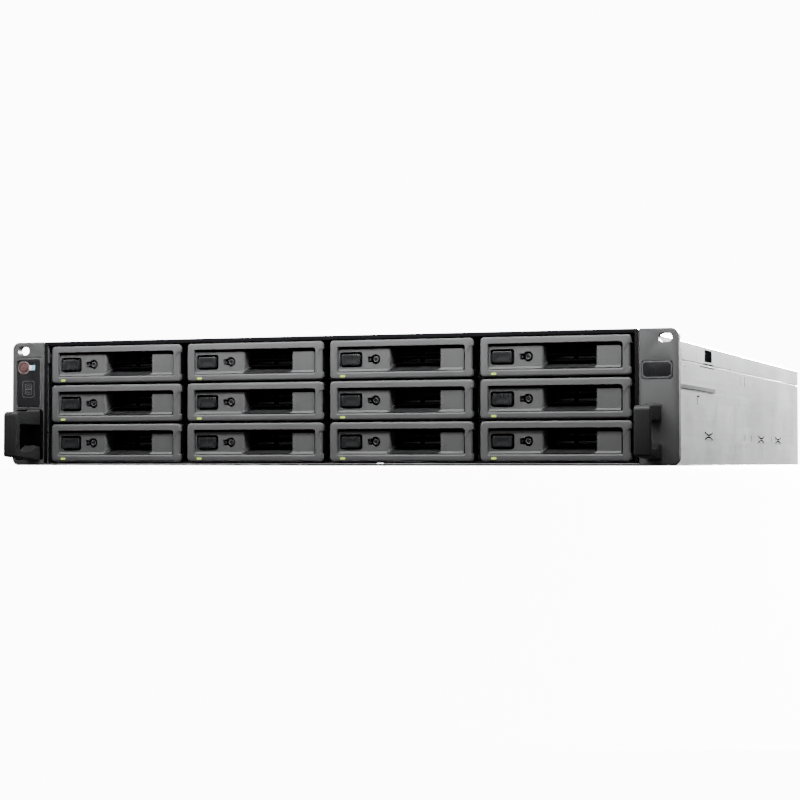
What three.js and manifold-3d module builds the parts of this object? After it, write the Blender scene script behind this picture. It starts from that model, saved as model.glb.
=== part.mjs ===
// A two-unit rack storage server with twelve hot-swap drive trays.
// Millimetres, +Z up, front towards -Y. While it is built, Y = 0 is the front face of the rack
// ears, X = 0 the centre and Z = 0 the underside. The whole group is then moved along Y so that
// the origin is the centre of the box's underside.
import * as THREE from 'three';
import { mergeVertices } from 'three/addons/utils/BufferGeometryUtils.js';
import Module from 'manifold-3d';

const wasm = await Module();
wasm.setup();

// ---- driving dimensions -------------------------------------------------------------------
const GAP = 0.3; // clearance between pieces that meet
const RACK_WIDTH = 482.6; // over the rack ears, the 19 inch standard
const SLOT_SPACING = 465.1; // between the ears' rack slots
const BODY_WIDTH = 430.5;
const BODY_DEPTH = 640;
const BODY_HEIGHT = 87.5;
const SHEET = 1.2; // steel sheet thickness
const COVER_SHEET = 1.0;
const FLANGE_BOTTOM = 74.2; // lower edge of the top cover's side flanges
const COVER_START = 181; // where the removable cover begins
const COVER_LIFT = BODY_HEIGHT - SHEET; // underside of the top sheets

const COLUMNS = 4;
const ROWS = 3;
const COLUMN_PITCH = 106.27;
const ROW_PITCH = 27.65;
const TRAY_WIDTH = 101.35;
const TRAY_HEIGHT = 26.1;
const FIRST_TRAY_Z = 2.78;
const TRAY_SHIFT = 0.35; // the tray block sits a little to the right of centre
const SLED_WIDTH = 103.6;
const SLED_END = 190;
const HANDLE_THICKNESS = 7; // the swing handle round a tray face
const DRIVE = { width: 101.6, height: 26.1, length: 147, start: 30 };

const CAGE_FRONT = 14;
const CAGE_END = 200;
const BACKPLANE_Y = 203;
const FAN_WALL = { start: 236, depth: 38, size: 80, pitch: 142 };
const BOARD = { x0: -118, x1: 205, y0: 330, y1: 634, z: 8, thickness: 1.6 };
const SUPPLY = { width: 73.5, height: 40, length: 185, centreX: -166, tab: 18 };

const EAR = { inner: BODY_WIDTH / 2 + GAP, thickness: 6, corner: 5 };
const GRIP = { width: 10.5, reach: 33, bottom: 3.5, top: 39.5, leftX: -223.7, rightX: 224.95 };

const HALF_BODY = BODY_WIDTH / 2;
const REAR_REACH = SUPPLY.tab; // how far the power supply tabs stand out at the rear
const ORIGIN_SHIFT = (GRIP.reach - BODY_DEPTH - REAR_REACH) / 2;

// Underside of a power supply, counted from 0 at the bottom.
const supplyBottom = (index) => SHEET + GAP + 0.2 + index * (SUPPLY.height + 1.2);

// ---- finishes -----------------------------------------------------------------------------
const finish = (color, roughness, metalness) => new THREE.MeshStandardMaterial({
  color, roughness, metalness,
});
const steel = finish(0xc9cccc, 0.42, 0.9);
const blackPaint = finish(0x0d0d0e, 0.6, 0.1);
const greyPlastic = finish(0x77797a, 0.5, 0.0);
const darkPlastic = finish(0x2a2a2b, 0.5, 0.0);
const glossBlack = finish(0x141415, 0.2, 0.0);
const boardGreen = finish(0x1d4a33, 0.5, 0.1);
const aluminium = finish(0xb9bcbf, 0.4, 0.9);
const supplySteel = finish(0xb4b6b8, 0.45, 0.85);
const latchGreen = finish(0x2f7d4a, 0.5, 0.0);

// ---- solid modelling helpers --------------------------------------------------------------

// Turns a closed three.js geometry into a manifold solid.
function solid(geometry) {
  const bare = geometry.clone();
  bare.deleteAttribute('normal');
  bare.deleteAttribute('uv');
  const merged = mergeVertices(bare, 1e-4);
  return new wasm.Manifold(new wasm.Mesh({
    numProp: 3,
    vertProperties: new Float32Array(merged.attributes.position.array),
    triVerts: new Uint32Array(merged.index.array),
  }));
}

// Turns a manifold solid back into a three.js geometry.
function geometryOf(body) {
  const mesh = body.getMesh();
  const geometry = new THREE.BufferGeometry();
  geometry.setAttribute('position', new THREE.BufferAttribute(mesh.vertProperties, 3));
  geometry.setIndex(new THREE.BufferAttribute(mesh.triVerts, 1));
  geometry.computeVertexNormals();
  return geometry;
}

// A box between two corners, [x0, x1], [y0, y1], [z0, z1], with exactly those corner values.
function block(x, y, z) {
  const box = new THREE.BoxGeometry(1, 1, 1);
  const corners = box.attributes.position;
  for (let i = 0; i < corners.count; i += 1) {
    const pick = (pair, value) => pair[value < 0 ? 0 : 1];
    corners.setXYZ(i, pick(x, corners.getX(i)), pick(y, corners.getY(i)),
      pick(z, corners.getZ(i)));
  }
  return solid(box);
}

// A shape drawn in X and Z, given thickness along Y from y0 to y1.
function plateXZ(shape, y0, y1, arcSteps = 3) {
  const geometry = new THREE.ExtrudeGeometry(shape, {
    depth: y1 - y0, bevelEnabled: false, curveSegments: arcSteps,
  });
  geometry.rotateX(Math.PI / 2);
  geometry.translate(0, y1, 0);
  return solid(geometry);
}

// A shape drawn in Y and Z, given thickness along X from x0 to x1.
function plateYZ(shape, x0, x1, arcSteps = 3) {
  const geometry = new THREE.ExtrudeGeometry(shape, {
    depth: x1 - x0, bevelEnabled: false, curveSegments: arcSteps,
  });
  geometry.rotateX(Math.PI / 2);
  geometry.rotateZ(Math.PI / 2);
  geometry.translate(x0, 0, 0);
  return solid(geometry);
}

// A closed outline through straight corners.
function outline(points) {
  return new THREE.Shape(points.map(([a, b]) => new THREE.Vector2(a, b)));
}

// A rectangle with rounded corners; the four radii run from the lower left corner anticlockwise.
function roundedRect(x0, z0, x1, z1, radii) {
  const [a, b, c, d] = Array.isArray(radii) ? radii : [radii, radii, radii, radii];
  const shape = new THREE.Shape();
  shape.moveTo(x0 + a, z0);
  shape.lineTo(x1 - b, z0);
  if (b > 0) shape.absarc(x1 - b, z0 + b, b, -Math.PI / 2, 0, false);
  shape.lineTo(x1, z1 - c);
  if (c > 0) shape.absarc(x1 - c, z1 - c, c, 0, Math.PI / 2, false);
  shape.lineTo(x0 + d, z1);
  if (d > 0) shape.absarc(x0 + d, z1 - d, d, Math.PI / 2, Math.PI, false);
  shape.lineTo(x0, z0 + a);
  if (a > 0) shape.absarc(x0 + a, z0 + a, a, Math.PI, 1.5 * Math.PI, false);
  return shape;
}

// A cylinder along Y.
function rodY(radius, x, z, y0, y1, sides = 20) {
  const geometry = new THREE.CylinderGeometry(radius, radius, y1 - y0, sides);
  geometry.translate(x, (y0 + y1) / 2, z);
  return solid(geometry);
}

const join = (pieces) => pieces.reduce((whole, piece) => whole.add(piece));
const cut = (body, tools) => tools.reduce((whole, tool) => whole.subtract(tool), body);

// ---- the group ----------------------------------------------------------------------------
const server = new THREE.Group();
server.position.y = ORIGIN_SHIFT;

// Adds a named mesh of one solid, placed at an offset from the group's own frame.
function add(name, body, material, place = [0, 0, 0]) {
  const mesh = new THREE.Mesh(geometryOf(body), material);
  mesh.name = name;
  mesh.position.set(...place);
  server.add(mesh);
}

// ---- sheet metal --------------------------------------------------------------------------

// The rail clip holes in one side wall, as cutting tools.
function railClipHoles(side) {
  const CLIP_Z = 21.5;
  const CLIP_LENGTH = 24;
  const CLIP_HEIGHT = 5;
  const walls = [side * HALF_BODY - 3, side * HALF_BODY + 3];
  return [223.6, 445, 528.8].map((y) => {
    const hole = roundedRect(y - CLIP_LENGTH / 2, CLIP_Z - CLIP_HEIGHT / 2,
      y + CLIP_LENGTH / 2, CLIP_Z + CLIP_HEIGHT / 2, 1.5);
    return plateYZ(hole, walls[0], walls[1], 1);
  });
}

// The long rib pressed into a side wall, pointed at its rear end.
function sideRib(side) {
  const RIB = { start: 8, shoulder: 243, tip: 250, low: 54.3, high: 56.7, proud: 0.5 };
  const middle = (RIB.low + RIB.high) / 2;
  const shape = outline([[RIB.start, RIB.low], [RIB.shoulder, RIB.low], [RIB.tip, middle],
    [RIB.shoulder, RIB.high], [RIB.start, RIB.high]]);
  const face = side * HALF_BODY;
  return plateYZ(shape, Math.min(face - side * 0.6, face + side * RIB.proud),
    Math.max(face - side * 0.6, face + side * RIB.proud));
}

// Floor and side walls as one folded sheet; above the cover's flanges the walls step inwards.
function foldedPan() {
  const wallTop = COVER_LIFT - GAP;
  const stepZ = FLANGE_BOTTOM - GAP;
  const stepX = HALF_BODY - COVER_SHEET - GAP;
  const outer = [[HALF_BODY, 0], [HALF_BODY, stepZ - 0.6], [stepX, stepZ], [stepX, wallTop]];
  const inner = [[stepX - SHEET, wallTop], [stepX - SHEET, stepZ - 1.2],
    [HALF_BODY - SHEET, stepZ - 1.8], [HALF_BODY - SHEET, SHEET]];
  const right = [...outer, ...inner];
  const left = right.map(([x, z]) => [-x, z]).reverse();
  return plateXZ(outline([...right, ...left]), 0, BODY_DEPTH);
}

// Rear panel openings: power supply bay, port window and vent slits.
function rearCuts() {
  const rear = [BODY_DEPTH - 3, BODY_DEPTH + 1];
  const bayHalf = SUPPLY.width / 2 + 1;
  const cuts = [
    block([SUPPLY.centreX - bayHalf, SUPPLY.centreX + bayHalf], rear, [SHEET, COVER_LIFT - 1.8]),
    block([-108, 34], rear, [9.8, 26.5]),
  ];
  const VENT = { x0: -104, pitch: 36, width: 31, z0: 34, step: 6, slit: 3, columns: 4, slits: 8 };
  for (let i = 0; i < VENT.columns * VENT.slits; i += 1) {
    const x = VENT.x0 + (i % VENT.columns) * VENT.pitch;
    const z = VENT.z0 + Math.floor(i / VENT.columns) * VENT.step;
    cuts.push(block([x, x + VENT.width], rear, [z, z + VENT.slit]));
  }
  return cuts;
}

// The wall and shelf that guide the two power supplies.
function supplyBay() {
  const bay = [BODY_DEPTH - SUPPLY.length, BODY_DEPTH - 0.2];
  const half = SUPPLY.width / 2;
  const wallX = SUPPLY.centreX + half + 1.6;
  const shelfZ = supplyBottom(0) + SUPPLY.height + GAP;
  return [
    block([wallX, wallX + SHEET], bay, [SHEET / 2, COVER_LIFT - 2]),
    block([SUPPLY.centreX - half - 2, wallX + SHEET / 2], bay, [shelfZ, shelfZ + 0.6]),
  ];
}

function chassis() {
  const inside = HALF_BODY - SHEET - 0.4;
  const panel = block([-inside - 0.4, inside + 0.4], [BODY_DEPTH - SHEET, BODY_DEPTH],
    [SHEET / 2, FLANGE_BOTTOM - 2]);
  const upper = HALF_BODY - COVER_SHEET - GAP - SHEET / 2;
  const panelTop = block([-upper, upper], [BODY_DEPTH - SHEET, BODY_DEPTH],
    [FLANGE_BOTTOM - 3, COVER_LIFT - GAP]);
  const whole = join([foldedPan(), panel, panelTop, ...supplyBay(), sideRib(1), sideRib(-1)]);
  return cut(whole, [...rearCuts(), ...railClipHoles(1), ...railClipHoles(-1)]);
}

// A top sheet with a flange folded down each side.
function foldedCover(y0, y1, flangeBottom) {
  const inner = HALF_BODY - COVER_SHEET;
  const shape = outline([[-HALF_BODY, flangeBottom], [-inner, flangeBottom],
    [-inner, COVER_LIFT], [inner, COVER_LIFT], [inner, flangeBottom],
    [HALF_BODY, flangeBottom], [HALF_BODY, BODY_HEIGHT - 0.8],
    [HALF_BODY - 0.8, BODY_HEIGHT], [-HALF_BODY + 0.8, BODY_HEIGHT],
    [-HALF_BODY, BODY_HEIGHT - 0.8]]);
  return plateXZ(shape, y0, y1);
}

function topCover() {
  const WINDOW = { y0: 209.6, y1: 236.5, z0: 76, z1: 84.8 };
  const across = [-HALF_BODY - 1, HALF_BODY + 1];
  const window = block(across, [WINDOW.y0, WINDOW.y1], [WINDOW.z0, WINDOW.z1]);
  const RECESS = { halfWidth: 45, y0: 560, y1: 590, depth: 0.6 };
  const fingerRecess = block([-RECESS.halfWidth, RECESS.halfWidth], [RECESS.y0, RECESS.y1],
    [BODY_HEIGHT - RECESS.depth, BODY_HEIGHT + 1]);
  return cut(foldedCover(COVER_START, BODY_DEPTH, FLANGE_BOTTOM), [window, fingerRecess]);
}

// ---- drive cage ---------------------------------------------------------------------------

// Left edge of a tray column, counted from 0 at the left.
function columnLeft(column) {
  const centre = (column - (COLUMNS - 1) / 2) * COLUMN_PITCH + TRAY_SHIFT;
  return centre - TRAY_WIDTH / 2;
}

const rowBottom = (row) => FIRST_TRAY_Z + row * ROW_PITCH;

function driveCage() {
  const outer = HALF_BODY - COVER_SHEET - GAP - SHEET - GAP;
  const floor = [SHEET + GAP, FIRST_TRAY_Z - GAP];
  const ceiling = [COVER_LIFT - GAP - 1.1, COVER_LIFT - GAP];
  const LEDGE = { reach: 2.2, thickness: 0.9 };
  const WALL = 1.2;
  const pieces = [
    block([-outer, outer], [CAGE_FRONT - 8, CAGE_END], floor),
    block([-outer, outer], [CAGE_FRONT - 8, CAGE_END], ceiling),
  ];
  const overhang = (SLED_WIDTH - TRAY_WIDTH) / 2 + GAP;
  const spans = [[-outer, columnLeft(0) - overhang]];
  for (let column = 1; column < COLUMNS; column += 1) {
    const centre = columnLeft(column) - (COLUMN_PITCH - TRAY_WIDTH) / 2;
    spans.push([centre - WALL / 2, centre + WALL / 2]);
  }
  spans.push([columnLeft(COLUMNS - 1) + TRAY_WIDTH + overhang, outer]);
  spans.forEach(([x0, x1], index) => {
    pieces.push(block([x0, x1], [CAGE_FRONT, CAGE_END], [floor[0], ceiling[1]]));
    const ledgeX = [index === 0 ? x0 : x0 - LEDGE.reach, index === COLUMNS ? x1 : x1 + LEDGE.reach];
    for (let row = 1; row < ROWS; row += 1) {
      const top = rowBottom(row) - GAP;
      pieces.push(block(ledgeX, [CAGE_FRONT, CAGE_END], [top - LEDGE.thickness, top]));
    }
  });
  return join(pieces);
}

// ---- trays --------------------------------------------------------------------------------
// A tray is drawn with its lower left front corner at the origin.

const FACE = { left: 5.3, right: 95.5, low: 4.65, high: 21.5 }; // the handle's opening
const BUTTON = {
  x0: 7.9, x1: 21.7, z0: 8.86, z1: 16.86, front: 0.2, thickness: 3.4, travel: 1.5, spare: 0.9,
};

function trayBody() {
  const faceX = [FACE.left + GAP, FACE.right - 0.9];
  const faceZ = [FACE.low + GAP, FACE.high - GAP];
  const VENT = { x0: 46.3, x1: 78.7, depth: 6 };
  const facePlate = plateXZ(roundedRect(faceX[0], faceZ[0], faceX[1], faceZ[1], [1, 1, 2, 1]),
    0.8, 12.5, 1);
  const face = cut(facePlate, [
    block([VENT.x0, VENT.x1], [-1, VENT.depth], [0, TRAY_HEIGHT]),
    plateXZ(roundedRect(BUTTON.x0 - 0.4, BUTTON.z0 - 0.4, BUTTON.x1 + 0.4, BUTTON.z1 + 0.4, 1.2),
      -1, BUTTON.front + BUTTON.thickness + BUTTON.travel + BUTTON.spare, 1),
  ]);
  const hingeRelief = block([faceX[1] - 1.5, faceX[1] + 1], [3, 12], [0, TRAY_HEIGHT]);
  const sledX = [(TRAY_WIDTH - SLED_WIDTH) / 2, (TRAY_WIDTH + SLED_WIDTH) / 2];
  const RAIL = { thickness: 1.0, height: 17 };
  const plate = block(sledX, [12, 14], [0, TRAY_HEIGHT]);
  const leftRail = block([sledX[0], sledX[0] + RAIL.thickness], [13, SLED_END], [0, RAIL.height]);
  const rightRail = block([sledX[1] - RAIL.thickness, sledX[1]], [13, SLED_END], [0, RAIL.height]);
  const cross = block(sledX, [SLED_END - 6, SLED_END], [0, 3]);
  const floor = block(sledX, [13, DRIVE.start + 1], [0, 1.2]);
  const driveX = [(TRAY_WIDTH - DRIVE.width) / 2 - 0.1, (TRAY_WIDTH + DRIVE.width) / 2 + 0.1];
  const drive = block(driveX, [DRIVE.start, DRIVE.start + DRIVE.length], [0.4, DRIVE.height - 0.3]);
  return join([plate, face.subtract(hingeRelief), leftRail, rightRail, cross, floor, drive]);
}

// The loop that frames the tray face; the right edge steps in beside the opening.
function trayHandle() {
  const CORNER = 2.4;
  const NOTCH = { depth: 1.6, low: 4.8, high: 20.7 };
  const shape = roundedRect(0, 0, TRAY_WIDTH, TRAY_HEIGHT, CORNER);
  shape.holes.push(roundedRect(FACE.left, FACE.low, FACE.right, FACE.high, [1, 1, 2, 1]));
  const loop = plateXZ(shape, 0, HANDLE_THICKNESS, 2);
  const notch = block([TRAY_WIDTH - NOTCH.depth, TRAY_WIDTH + 1], [-1, HANDLE_THICKNESS + 1],
    [NOTCH.low, NOTCH.high]);
  return loop.subtract(notch);
}

function releaseButton() {
  const shape = roundedRect(BUTTON.x0, BUTTON.z0, BUTTON.x1, BUTTON.z1, 1.2);
  return plateXZ(shape, BUTTON.front, BUTTON.front + BUTTON.thickness, 1);
}

// ---- ears and front controls --------------------------------------------------------------
const PANEL = { x0: -238.2, x1: -217.8, z0: 40.7, z1: 76.5, depth: 2.7 };
const POWER = { x: -232.1, z: 69.4, radius: 3.4, front: -0.9, back: 0.9, travel: 0.8 };
const PLATE = { x0: 217.3, x1: 237.2, z0: 55.2, z1: 66.5, depth: 1.4 };

// An ear plate for side -1 or +1, with its rack slot and the pocket for its panel.
function ear(side, pocket) {
  const SLOT = { width: 10.3, height: 6.6, z: 81.5 };
  const slotX = SLOT_SPACING / 2 + 0.6;
  const outerEdge = RACK_WIDTH / 2;
  const radii = [0, EAR.corner, EAR.corner, 0];
  const shape = roundedRect(EAR.inner, 0, outerEdge, BODY_HEIGHT, radii);
  shape.holes.push(roundedRect(slotX - SLOT.width / 2, SLOT.z - SLOT.height / 2,
    slotX + SLOT.width / 2, SLOT.z + SLOT.height / 2, SLOT.height / 2 - 0.01));
  let plate = plateXZ(shape, 0, EAR.thickness, 4);
  if (side < 0) plate = plate.mirror([1, 0, 0]);
  const tool = block([pocket.x0 - 0.2, pocket.x1 + 0.2], [-1, pocket.depth + GAP],
    [pocket.z0 - 0.2, pocket.z1 + 0.2]);
  return plate.subtract(tool);
}

// A front handle: two arms and a bar round a finger opening, drawn from the side.
function gripProfile() {
  const ROUND = 3.5; // radius over the top of the bar
  const BAR = 5; // thickness of the bar
  const HEEL = 2.5; // fillet where the bar meets the lower arm
  const BROW = 2; // fillet where the bar meets the upper arm
  const FLARE = { y: -4, low: 10.5, high: 1.4 }; // the arms thicken towards the ear
  const LOWER = { root: 9.5, bend: -13, height: 6.3 };
  const UPPER = { underside: 28.5, slope: 2 };
  const TOE = { start: 3.4, end: 2.4, back: 1 };
  const inside = -GRIP.reach + BAR;
  const lowTop = GRIP.bottom + LOWER.height;
  const shape = new THREE.Shape();
  shape.moveTo(-GAP, GRIP.bottom);
  shape.lineTo(-GAP, GRIP.bottom + LOWER.root);
  shape.lineTo(FLARE.y, GRIP.bottom + FLARE.low);
  shape.lineTo(LOWER.bend, lowTop);
  shape.lineTo(inside + HEEL + 1.5, lowTop);
  shape.absarc(inside + HEEL, lowTop + HEEL, HEEL, -Math.PI / 3, -Math.PI, true);
  shape.lineTo(inside, UPPER.underside - BROW);
  shape.absarc(inside + BROW, UPPER.underside - BROW, BROW, Math.PI, Math.PI / 2, true);
  shape.lineTo(-GAP, UPPER.underside);
  shape.lineTo(-GAP, GRIP.top);
  shape.lineTo(FLARE.y, GRIP.top - FLARE.high);
  shape.lineTo(-GRIP.reach + ROUND, GRIP.top - UPPER.slope);
  shape.absarc(-GRIP.reach + ROUND, GRIP.top - UPPER.slope - ROUND, ROUND, Math.PI / 2, Math.PI,
    false);
  shape.lineTo(-GRIP.reach, GRIP.bottom + TOE.start);
  shape.lineTo(-GRIP.reach + TOE.back, GRIP.bottom + TOE.end);
  return shape;
}

const grip = (centreX) => plateYZ(gripProfile(), centreX - GRIP.width / 2,
  centreX + GRIP.width / 2, 4);

function controlPanel() {
  const shape = roundedRect(PANEL.x0, PANEL.z0, PANEL.x1, PANEL.z1, 1);
  const plate = plateXZ(shape, -0.3, PANEL.depth, 2);
  const holeEnd = POWER.back + POWER.travel + GAP;
  return plate.subtract(rodY(POWER.radius + GAP, POWER.x, POWER.z, -1, holeEnd, 16));
}

const powerButton = () => rodY(POWER.radius, POWER.x, POWER.z, POWER.front, POWER.back, 16);

const namePlate = () => plateXZ(roundedRect(PLATE.x0, PLATE.z0, PLATE.x1, PLATE.z1, 0.8),
  -0.3, PLATE.depth, 2);

// ---- inside -------------------------------------------------------------------------------

function backplane() {
  const BOARD_THICKNESS = 2;
  const edge = 210;
  const pieces = [block([-edge, edge], [BACKPLANE_Y, BACKPLANE_Y + BOARD_THICKNESS], [3, 84])];
  const vents = [];
  const PLUG = { x: 40, width: 44, depth: 7, z: 9, height: 7 };
  for (let column = 0; column < COLUMNS; column += 1) {
    const left = columnLeft(column);
    for (let row = 0; row < ROWS; row += 1) {
      const z = rowBottom(row) + PLUG.z;
      pieces.push(block([left + PLUG.x, left + PLUG.x + PLUG.width],
        [BACKPLANE_Y - PLUG.depth, BACKPLANE_Y + 1], [z - PLUG.height, z]));
      vents.push(block([left + 12, left + 90], [BACKPLANE_Y - 1, BACKPLANE_Y + 4],
        [z + 3, z + 12]));
    }
  }
  return cut(join(pieces), vents);
}

const fanCentres = [-1, 0, 1].map((step) => step * FAN_WALL.pitch);
const FAN_Z = 43.5;

// One bracket across the case that carries three round fan frames, each with a bearing spider.
function fanWall() {
  const y0 = FAN_WALL.start;
  const y1 = y0 + FAN_WALL.depth;
  const bracket = block([-211, 211], [y0 + 14, y0 + 16], [SHEET + GAP, 85]);
  const half = FAN_WALL.size / 2;
  let whole = join([bracket, ...fanCentres.map((x) => block([x - half, x + half], [y0, y1],
    [FAN_Z - half, FAN_Z + half]))]);
  whole = cut(whole, fanCentres.map((x) => rodY(half - 1.8, x, FAN_Z, y0 - 1, y1 + 1, 24)));
  const spiders = fanCentres.flatMap((x) => [
    rodY(17, x, FAN_Z, y1 - 4, y1 - 1, 12),
    block([x - half + 1, x + half - 1], [y1 - 3.5, y1 - 1.5], [FAN_Z - 2, FAN_Z + 2]),
    block([x - 2, x + 2], [y1 - 3.5, y1 - 1.5], [FAN_Z - half + 1, FAN_Z + half - 1]),
  ]);
  return join([whole, ...spiders]);
}

// A hub with twisted blades, turning on an axis along Y through (x, z).
function rotor(x, z, y0, length, hubRadius, tipRadius, blades) {
  const pieces = [rodY(hubRadius, 0, 0, y0, y0 + length, 14)];
  const TWIST = 0.9;
  for (let i = 0; i < blades; i += 1) {
    const blade = new THREE.BoxGeometry(tipRadius - hubRadius + 3, 1.6, length * 0.8);
    blade.translate((tipRadius + hubRadius - 3) / 2, 0, 0);
    const twist = new THREE.Matrix4().makeRotationX(TWIST);
    blade.applyMatrix4(twist);
    blade.rotateX(-Math.PI / 2);
    blade.rotateY((i / blades) * 2 * Math.PI);
    blade.translate(0, y0 + length / 2, 0);
    pieces.push(solid(blade));
  }
  const reach = rodY(tipRadius, 0, 0, y0, y0 + length, 20);
  return join(pieces).intersect(reach).translate([x, 0, z]);
}

function mainBoard() {
  const { x0, x1, y0, y1, z, thickness } = BOARD;
  const top = z + thickness;
  const pieces = [block([x0, x1], [y0, y1], [z, top])];
  for (const x of [x0 + 8, x1 - 8]) {
    for (const y of [y0 + 8, y1 - 8]) {
      pieces.push(block([x - 4, x + 4], [y - 4, y + 4], [SHEET + GAP, z + 0.5]));
    }
  }
  const MEMORY = { x: 122, pitch: 9.5, count: 4, y0: 352, y1: 486, height: 31 };
  for (let i = 0; i < MEMORY.count; i += 1) {
    const x = MEMORY.x + i * MEMORY.pitch;
    pieces.push(block([x, x + 3.6], [MEMORY.y0, MEMORY.y1], [top - 0.2, top + MEMORY.height]));
  }
  const PORTS = { x0: -106, x1: 32, y0: 612, height: 14.5 };
  pieces.push(block([PORTS.x0, PORTS.x1], [PORTS.y0, y1 + 2], [top - 0.2, top + PORTS.height]));
  return join(pieces);
}

function heatSink() {
  const SINK = { x: 25, y: 372, size: 84, base: 5, height: 42, fins: 15, fin: 1.6 };
  const z0 = BOARD.z + BOARD.thickness + GAP;
  const right = SINK.x + SINK.size;
  const along = [SINK.y, SINK.y + SINK.size];
  const pitch = (SINK.size - SINK.fin) / (SINK.fins - 1);
  const pieces = [block([SINK.x, right], along, [z0, z0 + SINK.base])];
  for (let i = 0; i < SINK.fins; i += 1) {
    const left = SINK.x + i * pitch;
    pieces.push(block([left, Math.min(left + SINK.fin, right)], along, [z0, z0 + SINK.height]));
  }
  return join(pieces);
}

// ---- power supplies -----------------------------------------------------------------------
const INLET = { x: 17.5, z: 20, width: 25, height: 18, depth: 14 };
const SUPPLY_FAN = { x: -18.5, z: 20, bore: 16.3, depth: 15 };

// A power supply drawn with its lower rear centre at the origin, rear face at y = 0.
function supplyHousing() {
  const half = SUPPLY.width / 2;
  const box = block([-half, half], [-SUPPLY.length, 0], [0, SUPPLY.height]);
  const inlet = block([INLET.x - INLET.width / 2, INLET.x + INLET.width / 2], [-INLET.depth, 1],
    [INLET.z - INLET.height / 2, INLET.z + INLET.height / 2]);
  const fanBore = rodY(SUPPLY_FAN.bore, SUPPLY_FAN.x, SUPPLY_FAN.z, -SUPPLY_FAN.depth, 1, 24);
  const latchPocket = block([half - 5, half + 1], [-8, 1], [12, 28]);
  const tab = block([-0.8, 1.4], [-1, SUPPLY.tab], [6, 34]);
  return cut(box, [inlet, fanBore, latchPocket]).add(tab);
}

// The release latch: a thumb tab on a short arm beside the inlet.
function supplyLatch() {
  const half = SUPPLY.width / 2;
  const arm = block([half - 2.6, half - 0.9], [-7.6, 9], [13, 27]);
  const thumb = block([half - 3.6, half - 0.9], [6, 10], [12, 28]);
  return arm.add(thumb);
}

// ---- assembly -----------------------------------------------------------------------------
add('chassis', chassis(), steel);
add('front_cover', foldedCover(0.6, COVER_START - 0.6, FLANGE_BOTTOM), steel);
add('top_cover', topCover(), steel);
add('drive_cage', driveCage(), blackPaint);

for (let column = 0; column < COLUMNS; column += 1) {
  for (let row = 0; row < ROWS; row += 1) {
    const place = [columnLeft(column), 0, rowBottom(row)];
    const tag = `r${ROWS - row}c${column + 1}`;
    add(`tray_${tag}`, trayBody(), greyPlastic, place);
    add(`tray_handle_${tag}`, trayHandle(), greyPlastic, place);
    add(`tray_button_${tag}`, releaseButton(), glossBlack, place);
  }
}

add('ear_left', ear(-1, PANEL), darkPlastic);
add('ear_right', ear(1, PLATE), darkPlastic);
add('handle_left', grip(GRIP.leftX), darkPlastic);
add('handle_right', grip(GRIP.rightX), darkPlastic);
add('control_panel', controlPanel(), glossBlack);
add('power_button', powerButton(), darkPlastic);
add('name_plate', namePlate(), glossBlack);

add('backplane', backplane(), boardGreen);
add('fan_wall', fanWall(), blackPaint);
fanCentres.forEach((x, index) => {
  add(`fan_rotor_${index + 1}`, rotor(x, FAN_Z, FAN_WALL.start + 3, 28, 17, 36.5, 7), darkPlastic);
});
add('main_board', mainBoard(), boardGreen);
add('heat_sink', heatSink(), aluminium);

for (let index = 0; index < 2; index += 1) {
  const place = [SUPPLY.centreX, BODY_DEPTH, supplyBottom(index)];
  const fan = rotor(SUPPLY_FAN.x, SUPPLY_FAN.z, -SUPPLY_FAN.depth + 1.5, 9, 7, 15.5, 5);
  add(`power_supply_${index + 1}`, supplyHousing(), supplySteel, place);
  add(`supply_latch_${index + 1}`, supplyLatch(), latchGreen, place);
  add(`supply_fan_${index + 1}`, fan, darkPlastic, place);
}

export default server;
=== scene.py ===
"""Two-unit rack storage server: the visible surfaces, finishes and studio round the CAD frame.

Sizes in the dataclasses are millimetres, measured from the local origin that each class names.
Places come from the frame's boxes. Meshes are handed to Blender in metres.
"""
import logging
import math
from dataclasses import dataclass, field
from enum import Enum

import bmesh
import bpy
import numpy as np
from mathutils import Euler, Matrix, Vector
from mathutils.geometry import tessellate_polygon


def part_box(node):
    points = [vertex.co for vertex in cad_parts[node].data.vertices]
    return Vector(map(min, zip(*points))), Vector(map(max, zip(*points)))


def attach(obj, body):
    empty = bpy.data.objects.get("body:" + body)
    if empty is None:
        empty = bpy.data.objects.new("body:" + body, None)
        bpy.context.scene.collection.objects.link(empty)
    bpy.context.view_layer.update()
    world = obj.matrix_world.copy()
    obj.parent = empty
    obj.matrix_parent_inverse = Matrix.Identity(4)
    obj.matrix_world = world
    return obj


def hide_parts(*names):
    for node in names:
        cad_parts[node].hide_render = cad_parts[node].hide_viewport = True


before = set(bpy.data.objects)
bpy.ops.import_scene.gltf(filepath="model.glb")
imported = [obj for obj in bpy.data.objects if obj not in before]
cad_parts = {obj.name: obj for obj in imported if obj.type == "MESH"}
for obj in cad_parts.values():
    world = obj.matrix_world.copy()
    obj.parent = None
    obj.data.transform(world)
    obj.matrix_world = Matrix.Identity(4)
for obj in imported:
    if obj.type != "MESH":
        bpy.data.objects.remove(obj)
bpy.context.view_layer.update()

LOG = logging.getLogger("storage_server")
MM = 0.001
ROWS = (1, 2, 3)
COLUMNS = (1, 2, 3, 4)
ROOT = "root"


class Axis(Enum):
    """The direction in which an outline is given depth, and the order of its own two axes."""

    X = (1, 2, 0)
    Y = (0, 2, 1)
    Z = (0, 1, 2)


# ---- shader expressions ----------------------------------------------------------------------

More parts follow.
